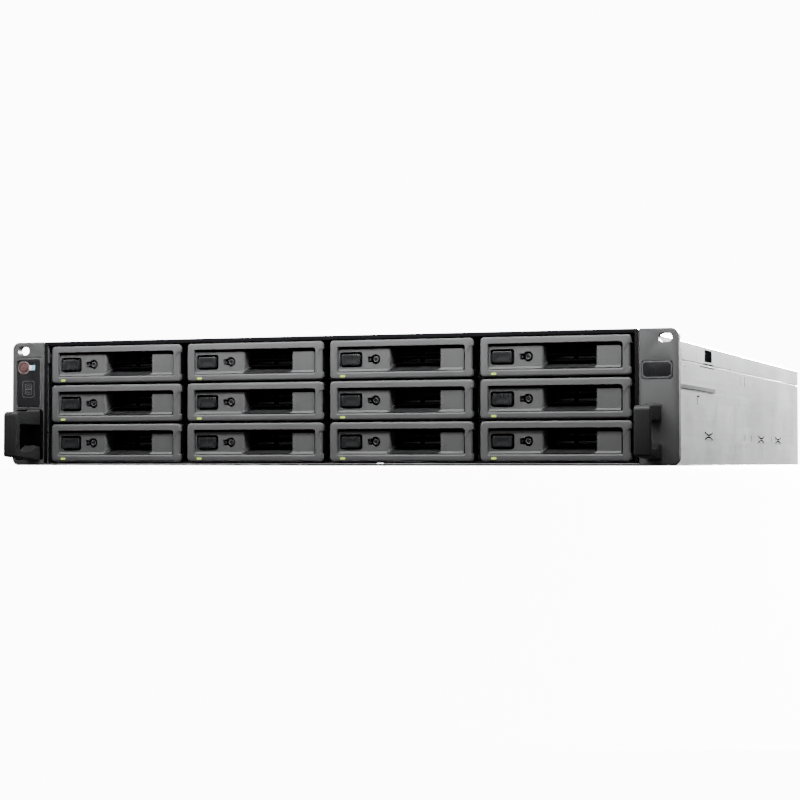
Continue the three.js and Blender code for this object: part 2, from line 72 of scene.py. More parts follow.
class Value:
    """A shader socket that Python arithmetic works on."""

    def __init__(self, shader: "Shader", socket: bpy.types.NodeSocket) -> None:
        """Wraps one output socket of a shader."""
        self.shader = shader
        self.socket = socket

    def _math(self, operation: str, first: object, second: object) -> "Value":
        """Adds a Math node.

        Args:
            operation: the node's operation.
            first: its first input, a Value or a number.
            second: its second input, a Value or a number.

        Returns:
            The node's result.
        """
        node = self.shader.node("ShaderNodeMath", {"operation": operation}, {0: first, 1: second})
        return Value(self.shader, node.outputs[0])

    def __add__(self, other: object) -> "Value":
        """self + other."""
        return self._math("ADD", self, other)

    def __radd__(self, other: object) -> "Value":
        """other + self."""
        return self._math("ADD", other, self)

    def __sub__(self, other: object) -> "Value":
        """self - other."""
        return self._math("SUBTRACT", self, other)

    def __rsub__(self, other: object) -> "Value":
        """other - self."""
        return self._math("SUBTRACT", other, self)

    def __mul__(self, other: object) -> "Value":
        """self * other."""
        return self._math("MULTIPLY", self, other)

    def __rmul__(self, other: object) -> "Value":
        """other * self."""
        return self._math("MULTIPLY", other, self)

    def above(self, level: float) -> "Value":
        """1 where self is more than level, otherwise 0."""
        return self._math("GREATER_THAN", self, level)

    def power(self, exponent: float) -> "Value":
        """self to a power."""
        return self._math("POWER", self, exponent)


class Shader:
    """A material under construction, with one Principled surface."""

    def __init__(self, name: str) -> None:
        """Starts an empty node material with that name.

        Args:
            name: the material's name.
        """
        self.material = bpy.data.materials.new(name)
        self.material.use_nodes = True
        self.tree = self.material.node_tree
        self.tree.nodes.clear()
        self.surface = self.node("ShaderNodeBsdfPrincipled", {}, {})
        output = self.node("ShaderNodeOutputMaterial", {}, {})
        self.tree.links.new(self.surface.outputs[0], output.inputs[0])

    def node(self, kind: str, settings: dict, inputs: dict) -> bpy.types.Node:
        """Adds a node.

        Args:
            kind: the node's type.
            settings: its properties, set before its sockets.
            inputs: socket name or number to a number, a colour, a Value or a socket.

        Returns:
            The new node.
        """
        node = self.tree.nodes.new(kind)
        for key, setting in settings.items():
            setattr(node, key, setting)
        for key, given in inputs.items():
            self.feed(node.inputs[key], given)
        return node

    def feed(self, socket: bpy.types.NodeSocket, given: object) -> None:
        """Links or sets one input socket.

        Args:
            socket: the socket.
            given: a Value, a socket to link, or a number or colour to set.
        """
        if isinstance(given, Value):
            self.tree.links.new(given.socket, socket)
        elif isinstance(given, bpy.types.NodeSocket):
            self.tree.links.new(given, socket)
        else:
            socket.default_value = given

    def set(self, name: str, given: object) -> None:
        """Sets or links an input of the Principled surface."""
        self.feed(self.surface.inputs[name], given)

    def place(self, stretch: tuple[float, float, float] = (1, 1, 1)) -> bpy.types.NodeSocket:
        """Object coordinates, stretched along each axis."""
        coordinates = self.node("ShaderNodeTexCoord", {}, {}).outputs["Object"]
        return self.node("ShaderNodeMapping", {}, {0: coordinates, "Scale": stretch}).outputs[0]

    def noise(self, size: float, detail: float = 3.0,
              stretch: tuple[float, float, float] = (1, 1, 1)) -> Value:
        """Noise on object coordinates.

        Args:
            size: the size of its features in millimetres.
            detail: the number of octaves.
            stretch: extra scale along each axis.

        Returns:
            The noise, about 0.5.
        """
        inputs = {"Vector": self.place(stretch), "Scale": 1 / (size * MM), "Detail": detail}
        return Value(self, self.node("ShaderNodeTexNoise", {}, inputs).outputs[0])

    def cells(self, size: float) -> Value:
        """A random number for each Voronoi cell.

        Args:
            size: the size of a cell in millimetres.

        Returns:
            The number, from 0 to 1.
        """
        inputs = {"Vector": self.place(), "Scale": 1 / (size * MM)}
        node = self.node("ShaderNodeTexVoronoi", {}, inputs)
        split = self.node("ShaderNodeSeparateColor", {}, {0: node.outputs["Color"]})
        return Value(self, split.outputs[0])

    def blend(self, amount: object, low: tuple, high: tuple) -> bpy.types.NodeSocket:
        """A colour between two others, by an amount from 0 to 1.

        Args:
            amount: how far from low to high, from 0 to 1.
            low: the colour at 0.
            high: the colour at 1.

        Returns:
            The blended colour.
        """
        node = self.node("ShaderNodeMix", {"data_type": "RGBA"}, {0: amount})
        self.feed(node.inputs[6], (*low, 1.0))
        self.feed(node.inputs[7], (*high, 1.0))
        return node.outputs[2]

    def bump(self, height: Value, depth: float) -> None:
        """Feeds a bump of that depth in millimetres into the surface's normal."""
        inputs = {"Height": height, "Distance": depth * MM, "Strength": 1.0}
        self.set("Normal", self.node("ShaderNodeBump", {}, inputs).outputs[0])


def tint(colour: tuple, factor: float) -> tuple:
    """A colour with each channel multiplied by a factor."""
    return tuple(min(1.0, channel * factor) for channel in colour)


# ---- finishes --------------------------------------------------------------------------------

@dataclass(frozen=True)
class MouldedPlastic:
    """Injection moulded plastic with a fine spark-eroded grain and slight mottling."""

    name: str
    colour: tuple
    roughness: float = 0.5
    grain: float = 0.35
    depth: float = 0.02
    slot: str = "tray_grey"
    sheen: float = 0.45

    def make(self) -> bpy.types.Material:
        """Builds the material.

        Returns:
            The material.
        """
        shader = Shader(self.name)
        mottle = shader.noise(22, 4)
        grain = shader.noise(self.grain, 2)
        shader.set("Base Color", shader.blend(mottle, tint(self.colour, 0.9),
                                              tint(self.colour, 1.1)))
        shader.set("Roughness", self.roughness - 0.09 + 0.1 * mottle + 0.08 * grain)
        shader.set("Specular IOR Level", self.sheen)
        shader.bump(grain, self.depth)
        return shader.material


@dataclass(frozen=True)
class ZincSheet:
    """Galvanised steel sheet: faint spangle, rolling lines and cloudy roughness."""

    name: str
    colour: tuple
    roughness: float = 0.36
    spangle: float = 9.0
    slot: str = "zinc_steel"

    def make(self) -> bpy.types.Material:
        """Builds the material.

        Returns:
            The material.
        """
        shader = Shader(self.name)
        spangle = shader.noise(self.spangle, 1)
        cloud = shader.noise(70, 4)
        rolling = shader.noise(2.2, 3, (1, 0.02, 1))
        tone = 0.3 * spangle + 0.4 * cloud + 0.3 * rolling
        shader.set("Base Color", shader.blend(tone, tint(self.colour, 0.9),
                                              tint(self.colour, 1.06)))
        shader.set("Metallic", 0.85)
        shader.set("Roughness",
                   self.roughness - 0.1 + 0.12 * cloud + 0.05 * spangle + 0.06 * rolling)
        return shader.material


@dataclass(frozen=True)
class PowderCoat:
    """Powder coated sheet with a fine orange-peel surface."""

    name: str
    colour: tuple
    roughness: float = 0.55
    peel: float = 0.9
    slot: str = "black_paint"

    def make(self) -> bpy.types.Material:
        """Builds the material.

        Returns:
            The material.
        """
        shader = Shader(self.name)
        peel = shader.noise(self.peel, 2)
        dust = shader.noise(35, 5)
        shader.set("Base Color", shader.blend(dust, tint(self.colour, 0.8), tint(self.colour, 1.3)))
        shader.set("Roughness", self.roughness - 0.06 + 0.12 * dust)
        shader.bump(peel, 0.03)
        return shader.material


@dataclass(frozen=True)
class GlossPlastic:
    """Polished plastic under a clear coat, with faint wiping marks."""

    name: str
    colour: tuple
    roughness: float = 0.16
    slot: str = "gloss_black"

    def make(self) -> bpy.types.Material:
        """Builds the material.

        Returns:
            The material.
        """
        shader = Shader(self.name)
        wiping = shader.noise(6, 4, (1, 1, 0.2))
        shader.set("Base Color", shader.blend(wiping, tint(self.colour, 0.85),
                                              tint(self.colour, 1.2)))
        shader.set("Roughness", self.roughness + 0.1 * wiping.power(2))
        shader.set("Coat Weight", 0.4)
        shader.set("Coat Roughness", 0.08)
        return shader.material


@dataclass(frozen=True)
class CastMetal:
    """Cast or machined metal with a fine pitted surface."""

    name: str
    colour: tuple
    roughness: float = 0.4
    pit: float = 0.8
    slot: str = "drive_metal"

    def make(self) -> bpy.types.Material:
        """Builds the material.

        Returns:
            The material.
        """
        shader = Shader(self.name)
        pits = shader.noise(self.pit, 3)
        cloud = shader.noise(30, 3)
        shader.set("Base Color", shader.blend(cloud, tint(self.colour, 0.88),
                                              tint(self.colour, 1.08)))
        shader.set("Metallic", 0.9)
        shader.set("Roughness", self.roughness - 0.08 + 0.12 * pits + 0.08 * cloud)
        shader.bump(pits, 0.02)
        return shader.material


@dataclass(frozen=True)
class SolderMask:
    """A circuit board: solder mask over copper runs that follow the board's own axes."""

    name: str
    colour: tuple
    slot: str = "circuit_board"

    def make(self) -> bpy.types.Material:
        """Builds the material.

        Returns:
            The material.
        """
        shader = Shader(self.name)
        runs = shader.noise(1.4, 1, (1, 0.06, 1)).above(0.56)
        crossing = shader.noise(1.4, 1, (0.06, 1, 0.06)).above(0.6)
        pads = shader.cells(3.0).above(0.93)
        copper = (runs + crossing) * 0.45
        colour = shader.blend(copper, self.colour, tint(self.colour, 2.1))
        mixed = shader.node("ShaderNodeMix", {"data_type": "RGBA"}, {0: pads, 6: colour})
        shader.feed(mixed.inputs[7], (0.55, 0.5, 0.38, 1.0))
        shader.set("Base Color", mixed.outputs[2])
        shader.set("Roughness", 0.32 + 0.1 * copper)
        shader.bump(runs + crossing, 0.03)
        return shader.material


@dataclass(frozen=True)
class LitWindow:
    """A small lit light window, its glow varying a little across it by noise."""

    name: str
    colour: tuple
    strength: float
    slot: str = "lamp_green"

    def make(self) -> bpy.types.Material:
        """Builds the material.

        Returns:
            The material.
        """
        shader = Shader(self.name)
        glow = shader.noise(2.5, 2)
        shader.set("Base Color", (*tint(self.colour, 0.6), 1.0))
        shader.set("Emission Color", shader.blend(glow, tint(self.colour, 0.85),
                                                  tint(self.colour, 1.15)))
        shader.set("Emission Strength", self.strength)
        shader.set("Roughness", 0.3)
        return shader.material


class Finishes:
    """Every finish of the server, each made once."""

    tray = MouldedPlastic("tray_grey_plastic", (0.108, 0.109, 0.111))
    panel = MouldedPlastic("tray_panel_plastic", (0.098, 0.1, 0.1), 0.55, 0.5, 0.05)
    ear = MouldedPlastic("ear_grey_plastic", (0.1, 0.101, 0.102), 0.46, slot="ear_grey")
    grip = MouldedPlastic("grip_black_plastic", (0.03, 0.0305, 0.031), 0.45, 0.4, 0.015,
                          "grip_black", 0.28)
    black = MouldedPlastic("black_plastic", (0.005, 0.005, 0.0055), 0.6, 0.6, 0.02,
                           "black_plastic", 0.12)
    # Painted shade: near-black with no reflection at all, laid where only shade shows in slits,
    # windows, the vent and pockets.
    painted_shade = MouldedPlastic("painted_shade_black", (0.004, 0.004, 0.0045), 0.9, 0.6, 0.02,
                          "black_plastic", 0.0)
    # Painted shade: the ribs' zinc is darker than the walls to stand for the shade on their
    # downward slope.
    rib = ZincSheet("rib_shade_sheet", (0.2, 0.205, 0.205), 0.42, 5.0)
    fan = MouldedPlastic("fan_black_plastic", (0.018, 0.018, 0.019), 0.45, 0.8, 0.01,
                         "black_plastic", 0.25)
    border = MouldedPlastic("panel_border_plastic", (0.1, 0.1, 0.103), 0.4, slot="ear_grey")
    gloss = GlossPlastic("gloss_black_plastic", (0.018, 0.018, 0.02))
    button = GlossPlastic("tray_button_plastic", (0.02, 0.021, 0.022), 0.24)
    ring = MouldedPlastic("button_ring_plastic", (0.22, 0.165, 0.16), 0.35, slot="button_plastic")
    power = MouldedPlastic("power_button_plastic", (0.13, 0.062, 0.058), 0.4, slot="button_plastic")
    mark = MouldedPlastic("pale_mark_ink", (0.12, 0.12, 0.12), 0.5, slot="button_plastic")
    latch = MouldedPlastic("latch_green_plastic", (0.03, 0.25, 0.1), 0.4, slot="latch_green")
    steel = ZincSheet("zinc_sheet", (0.86, 0.87, 0.87), 0.29)
    supply = ZincSheet("supply_sheet", (0.7, 0.71, 0.72), 0.42, 5.0, "supply_steel")
    screw = CastMetal("screw_steel", (0.62, 0.62, 0.63), 0.3, 0.5, "supply_steel")
    gold = CastMetal("contact_gold", (0.83, 0.62, 0.28), 0.25, 0.4, "supply_steel")
    paint = PowderCoat("black_powder_coat", (0.013, 0.013, 0.014))
    drive = CastMetal("drive_casting", (0.42, 0.43, 0.44), 0.46)
    lid = CastMetal("drive_lid", (0.62, 0.63, 0.64), 0.3, 2.0)
    sink = CastMetal("heat_sink_aluminium", (0.74, 0.75, 0.77), 0.34, 0.5, "sink_aluminium")
    board = SolderMask("board_green", (0.01, 0.075, 0.04))
    lamp = LitWindow("lamp_green", (0.5, 0.72, 0.1), 1.0)
    lamp_white = LitWindow("lamp_white", (0.85, 0.92, 1.0), 1.0)
    lamp_cyan = LitWindow("lamp_cyan", (0.35, 0.75, 0.9), 0.7)

    _made: dict = {}

    @classmethod
    def of(cls, finish: object) -> bpy.types.Material:
        """The material of a finish, made when it is first asked for.

        Args:
            finish: one of the finishes.

        Returns:
            Its material.
        """
        if finish.name not in cls._made:
            cls._made[finish.name] = finish.make()
        return cls._made[finish.name]


# ---- outlines --------------------------------------------------------------------------------

def arc(centre: tuple, radius: float, start: float, end: float, steps: int) -> np.ndarray:
    """Points on a circle from one angle to another, in degrees: centre + radius (cos, sin)."""
    angles = np.radians(np.linspace(start, end, steps + 1))
    return np.column_stack((centre[0] + radius * np.cos(angles),
                            centre[1] + radius * np.sin(angles)))


def rounded(low: tuple, high: tuple, radius: object = 1.0, steps: int = 4) -> np.ndarray:
    """A rectangle with arcs for corners, anticlockwise from its lower left corner.

    Args:
        low: the lower left corner.
        high: the upper right corner.
        radius: one radius, or four from the lower left anticlockwise.
        steps: the steps in each arc.

    Returns:
        The outline's points.
    """
    radii = radius if isinstance(radius, (tuple, list)) else (radius,) * 4
    (x0, z0), (x1, z1) = low, high
    a, b, c, d = (max(r, 0.01) for r in radii)
    return np.vstack((arc((x0 + a, z0 + a), a, 180, 270, steps),
                      arc((x1 - b, z0 + b), b, 270, 360, steps),
                      arc((x1 - c, z1 - c), c, 0, 90, steps),
                      arc((x0 + d, z1 - d), d, 90, 180, steps)))


def circle(centre: tuple, radius: float, steps: int = 24) -> np.ndarray:
    """A closed circle."""
    return arc(centre, radius, 0, 360, steps)[:-1]


def inset(outline: np.ndarray, distance: float) -> np.ndarray:
    """Moves an anticlockwise outline inwards.

    Each corner goes along the sum of its two edges' normals, divided by one plus their dot
    product, so that both edges move by the same distance.

    Args:
        outline: the outline's points.
        distance: how far inwards the edges move.

    Returns:
        The moved points.
    """
    ahead = np.roll(outline, -1, axis=0) - outline
    ahead /= np.maximum(np.linalg.norm(ahead, axis=1, keepdims=True), 1e-9)
    normal = np.column_stack((-ahead[:, 1], ahead[:, 0]))
    before = np.roll(normal, 1, axis=0)
    shared = np.maximum(1 + np.sum(normal * before, axis=1, keepdims=True), 0.35)
    return outline + distance * (normal + before) / shared


# ---- surfaces --------------------------------------------------------------------------------

class Shell:
    """Closed surfaces in millimetres about a local origin, made into one object at the end."""

    def __init__(self, origin: tuple = (0.0, 0.0, 0.0)) -> None:
        """Starts an empty shell whose local origin is at a place in metres.

        Args:
            origin: the place of the local origin, in metres.
        """
        self.origin = np.array(origin, dtype=float)
        self.points: list[np.ndarray] = []
        self.faces: list[list[int]] = []
        self.count = 0

    def add(self, points: np.ndarray, faces: list) -> "Shell":
        """Adds points, and faces that count from the first of them.

        Args:
            points: the new points, in millimetres.
            faces: lists of point numbers, where 0 is the first new point.

        Returns:
            The shell itself.
        """
        self.points.append(np.asarray(points, dtype=float))
        self.faces.extend([[index + self.count for index in face] for face in faces])
        self.count += len(points)
        return self

    def loft(self, rings: np.ndarray, closed: bool = False, caps: bool = True) -> "Shell":
        """Joins rings of equal length: point (i, j) of the grid is point j of ring i.

        Args:
            rings: an array of rings by points by 3.
            closed: whether the last ring joins the first.
            caps: whether the first and last rings are filled.

        Returns:
            The shell itself.
        """
        count, size = rings.shape[:2]
        spans = count if closed else count - 1
        i, j = np.meshgrid(np.arange(spans), np.arange(size), indexing="ij")
        k, m = (i + 1) % count, (j + 1) % size
        quads = np.stack((i * size + j, i * size + m, k * size + m, k * size + j), axis=-1)
        faces = quads.reshape(-1, 4).tolist()
        if caps and not closed:
            faces.append(list(range(size - 1, -1, -1)))
            faces.append([(count - 1) * size + index for index in range(size)])
        return self.add(rings.reshape(-1, 3), faces)

    def slab(self, outline: np.ndarray, front: float, back: float, edge: float = 0.0,
             holes: tuple = (),
             axis: Axis = Axis.Y, both: bool = False, steps: int = 3) -> "Shell":
        """Gives an outline depth, with a quarter-round edge at the front and, if asked, the back.

        The edge's ring at angle t is inset by edge (1 - sin t) at a depth of edge (1 - cos t).

        Args:
            outline: the outer outline, anticlockwise.
            front: where it starts along the axis.
            back: where it ends along the axis.
            edge: the radius of the rounded edge.
            holes: outlines of holes, anticlockwise.
            axis: the axis of the depth.
            both: whether the back edge is rounded too.
            steps: the steps of the rounded edge.

        Returns:
            The shell itself.
        """
        way = 1.0 if back > front else -1.0
        angles = np.linspace(0, math.pi / 2, steps + 1) if edge else np.array([math.pi / 2])
        levels = [(edge * (1 - math.sin(t)),
                   front + way * edge * (1 - math.cos(t))) for t in angles]
        ends = [(gap, back - (place - front)) for gap, place in levels] if both else [(0.0, back)]
        levels += list(reversed(ends))
        loops = []
        for number, loop in enumerate((outline, *holes)):
            sign = 1.0 if number == 0 else -1.0
            loops.append([inset(loop, sign * gap) if gap else loop for gap, _ in levels])
        points, faces, start = [], [], 0
        for loop in loops:
            size = len(loop[0])
            for level, flat in enumerate(loop):
                ring = np.zeros((size, 3))
                ring[:, axis.value[0]], ring[:, axis.value[1]] = flat[:, 0], flat[:, 1]
                ring[:, axis.value[2]] = levels[level][1]
                points.append(ring)
            j = np.arange(size)
            for level in range(len(levels) - 1):
                a, b = start + level * size, start + (level + 1) * size
                faces += np.stack((a + j, a + (j + 1) % size, b + (j + 1) % size, b + j),
                                  axis=-1).tolist()
            start += size * len(levels)
        for level in (0, len(levels) - 1):
            faces += self._cap(loops, level, len(levels))
        return self.add(np.vstack(points), faces)

    @staticmethod
    def _cap(loops: list, level: int, depth: int) -> list:
        """Fills one end of a slab.

        Args:
            loops: for each outline, its flat rings at every level.
            level: the level to fill.
            depth: the number of levels.

        Returns:
            The faces, numbered as in the slab.
        """
        names, start = [], 0
        for loop in loops:
            size = len(loop[0])
            names += list(range(start + level * size, start + (level + 1) * size))
            start += size * depth
        if len(loops) == 1:
            return [names]
        flat = [[Vector((u, v, 0)) for u, v in loop[level]] for loop in loops]
        return [[names[index] for index in face] for face in tessellate_polygon(flat)]

    def box(self, low: tuple, high: tuple, edge: float = 0.15) -> "Shell":
        """A box between two corners with rounded front and back edges."""
        outline = rounded((low[0], low[2]), (high[0], high[2]), edge, 2)
        return self.slab(outline, low[1], high[1], edge * 0.7, both=True, steps=2)

    def turned(self, profile: list, centre: tuple, axis: Axis = Axis.Y, steps: int = 28) -> "Shell":
        """Turns a profile round an axis: point (i, j) is centre + r_i (cos a_j, sin a_j) at d_i.

        Args:
            profile: (radius, depth) pairs from one end of the axis to the other.
            centre: the axis's place in the outline's two axes.
            axis: the axis turned about.
            steps: the number of sides.

        Returns:
            The shell itself.
        """
        angles = np.linspace(0, 2 * math.pi, steps, endpoint=False)
        radius, depth = np.array(profile, dtype=float).T
        rings = np.zeros((len(profile), steps, 3))
        rings[:, :, axis.value[0]] = centre[0] + np.outer(radius, np.cos(angles))
        rings[:, :, axis.value[1]] = centre[1] + np.outer(radius, np.sin(angles))
        rings[:, :, axis.value[2]] = depth[:, None]
        return self.loft(rings)

    def hoop(self, radius: float, wire: float, centre: tuple, depth: float, sides: int = 8,
             steps: int = 36) -> "Shell":
        """A wire ring about an axis along Y: the wire's circle is carried round the ring's circle.

        Args:
            radius: the ring's radius.
            wire: the wire's radius.
            centre: the axis's place in X and Z.
            depth: the ring's place in Y.
            sides: the sides of the wire.
            steps: the steps round the ring.

        Returns:
            The shell itself.
        """
        a = np.linspace(0, 2 * math.pi, steps, endpoint=False)[:, None]
        b = np.linspace(0, 2 * math.pi, sides, endpoint=False)[None, :]
        reach = radius + wire * np.cos(b)
        rings = np.stack((centre[0] + reach * np.cos(a), depth + wire * np.sin(b) + 0 * a,
                          centre[1] + reach * np.sin(a)), axis=-1)
        return self.loft(rings, closed=True)

    def build(self, name: str, finish: object, body: str = ROOT, replaces: tuple = (),
              smooth: float = 32.0) -> bpy.types.Object:
        """Makes the object, outward facing, and tells the frame what it rides on.

        Args:
            name: the piece's name.
            finish: its finish.
            body: the CAD body that it moves with.
            replaces: CAD nodes that it stands for.
            smooth: the angle in degrees above which an edge stays sharp.

        Returns:
            The object.
        """
        mesh = bpy.data.meshes.new(name)
        points = np.vstack(self.points) * MM + self.origin
        mesh.from_pydata(points.tolist(), [], self.faces)
        work = bmesh.new()
        work.from_mesh(mesh)
        bmesh.ops.recalc_face_normals(work, faces=work.faces)
        work.to_mesh(mesh)
        work.free()
        mesh.shade_smooth()
        mesh.set_sharp_from_angle(angle=math.radians(smooth))
        mesh.materials.append(Finishes.of(finish))
        piece = bpy.data.objects.new(name, mesh)
        bpy.context.scene.collection.objects.link(piece)
        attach(piece, body)
        if replaces:
            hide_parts(*replaces)
        LOG.info("%s: %d faces on %s", name, len(mesh.polygons), body)
        return piece


def corner(node: str) -> np.ndarray:
    """The lowest corner of a CAD node's box, in metres."""
    return np.array(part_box(node)[0])


def front_origin() -> tuple:
    """Centre line, front face and underside of the rack ears, in metres."""
    return (0.0, float(corner("ear_left")[1]), 0.0)


# ---- drive trays -----------------------------------------------------------------------------

@dataclass
class TrayHandle:
    """The grey swing handle that frames a tray. Its origin is its own lower left front corner."""

    tag: str
    width: float = 101.35
    height: float = 26.1
    depth: float = 7.0
    corner_radius: float = 2.6
    notch: tuple = (100.35, 4.7, 5.2, 20.3, 20.8)
    front_depth: float = 2.3
    opening: tuple = (5.3, 4.65, 95.5, 21.5)
    chamfer: float = 1.15
    lamp: tuple = (7.5, 1.1, 11.2, 2.5)

    def outer(self, gap: float) -> np.ndarray:
        """The outer outline, inset by a gap, with the step beside the opening at the right.

        Args:
            gap: how far it is inset.

        Returns:
            The outline's points.
        """
        r = self.corner_radius
        x1 = self.width - gap
        step, z_a, z_b, z_c, z_d = self.notch
        side = np.array([[x1, z_a], [step - gap, z_b], [step - gap, z_c], [x1, z_d]])
        return np.vstack((arc((r, r), r - gap, 180, 270, 5),
                          arc((self.width - r, r), r - gap, 270, 360, 5),
                          side, arc((self.width - r, self.height - r), r - gap, 0, 90, 5),
                          arc((r, self.height - r), r - gap, 90, 180, 5)))

    def inner(self, grow: float, drop: float) -> np.ndarray:
        """The opening's outline, grown all round, and lowered further along its bottom edge.

        Args:
            grow: how far the sides and top move outwards.
            drop: how far the bottom edge moves down.

        Returns:
            The outline's points.
        """
        x0, z0, x1, z1 = self.opening
        x0, z0, x1, z1 = x0 - grow, z0 - drop, x1 + grow, z1 + grow
        side = np.column_stack((np.full(4, x1), np.linspace(z0 + 3, z1 - 4, 4)))
        return np.vstack((arc((x0 + 1, z0 + 1), 1, 180, 270, 5),
                          arc((x1 - 1, z0 + 1), 1, 270, 360, 5),
                          side, arc((x1 - 2, z1 - 2), 2, 0, 90, 5),
                          arc((x0 + 1, z1 - 1), 1, 90, 180, 5)))

    @staticmethod
    def ring_piece(origin: np.ndarray, flats: list) -> Shell:
        """Joins outlines at given depths, and the last to the first, into a closed frame.

        Args:
            origin: the frame's local origin in metres.
            flats: (outline, depth) pairs.

        Returns:
            The shell.
        """
        rings = [np.column_stack((flat[:, 0], np.full(len(flat), y), flat[:, 1]))
                 for flat, y in flats]
        return Shell(origin).loft(np.array(rings), closed=True)

    def build(self) -> None:
        """Makes the grey front, the loop's rear in black as painted shade, and the light window."""
        node = f"tray_handle_{self.tag}"
        origin = corner(node)
        back = self.front_depth
        front = [(self.outer(0), back), (self.outer(0), 1.1), (self.outer(0.12), 0.65),
                 (self.outer(0.4), 0.28),
                 (self.outer(0.8), 0.07), (self.outer(1.3), 0.0),
                 (self.inner(0.25, self.chamfer), 0.0),
                 (self.inner(0.0, 0.0), self.chamfer * 0.95), (self.inner(0.0, 0.0), back)]
        self.ring_piece(origin, front).build(f"tray_loop_{self.tag}", Finishes.tray, node, (node,))
        # Painted shade: the loop's rear, behind front_depth, is black to stand for the shade on its
        # sides between the trays.
        rear_shade = [(self.outer(0.2), self.depth), (self.outer(0.2), back),
                 (self.inner(0.0, 0.0), back),
                 (self.inner(0.0, 0.0), self.depth)]
        self.ring_piece(origin, rear_shade).build(f"tray_rear_shade_{self.tag}", Finishes.black, node)
        x0, z0, x1, z1 = self.lamp
        window = rounded((x0, z0), (x1, z1), 0.7)
        lamp = Shell(origin).slab(window, -0.12, 0.6, 0.2)
        lamp.build(f"tray_lamp_{self.tag}", Finishes.lamp, node)


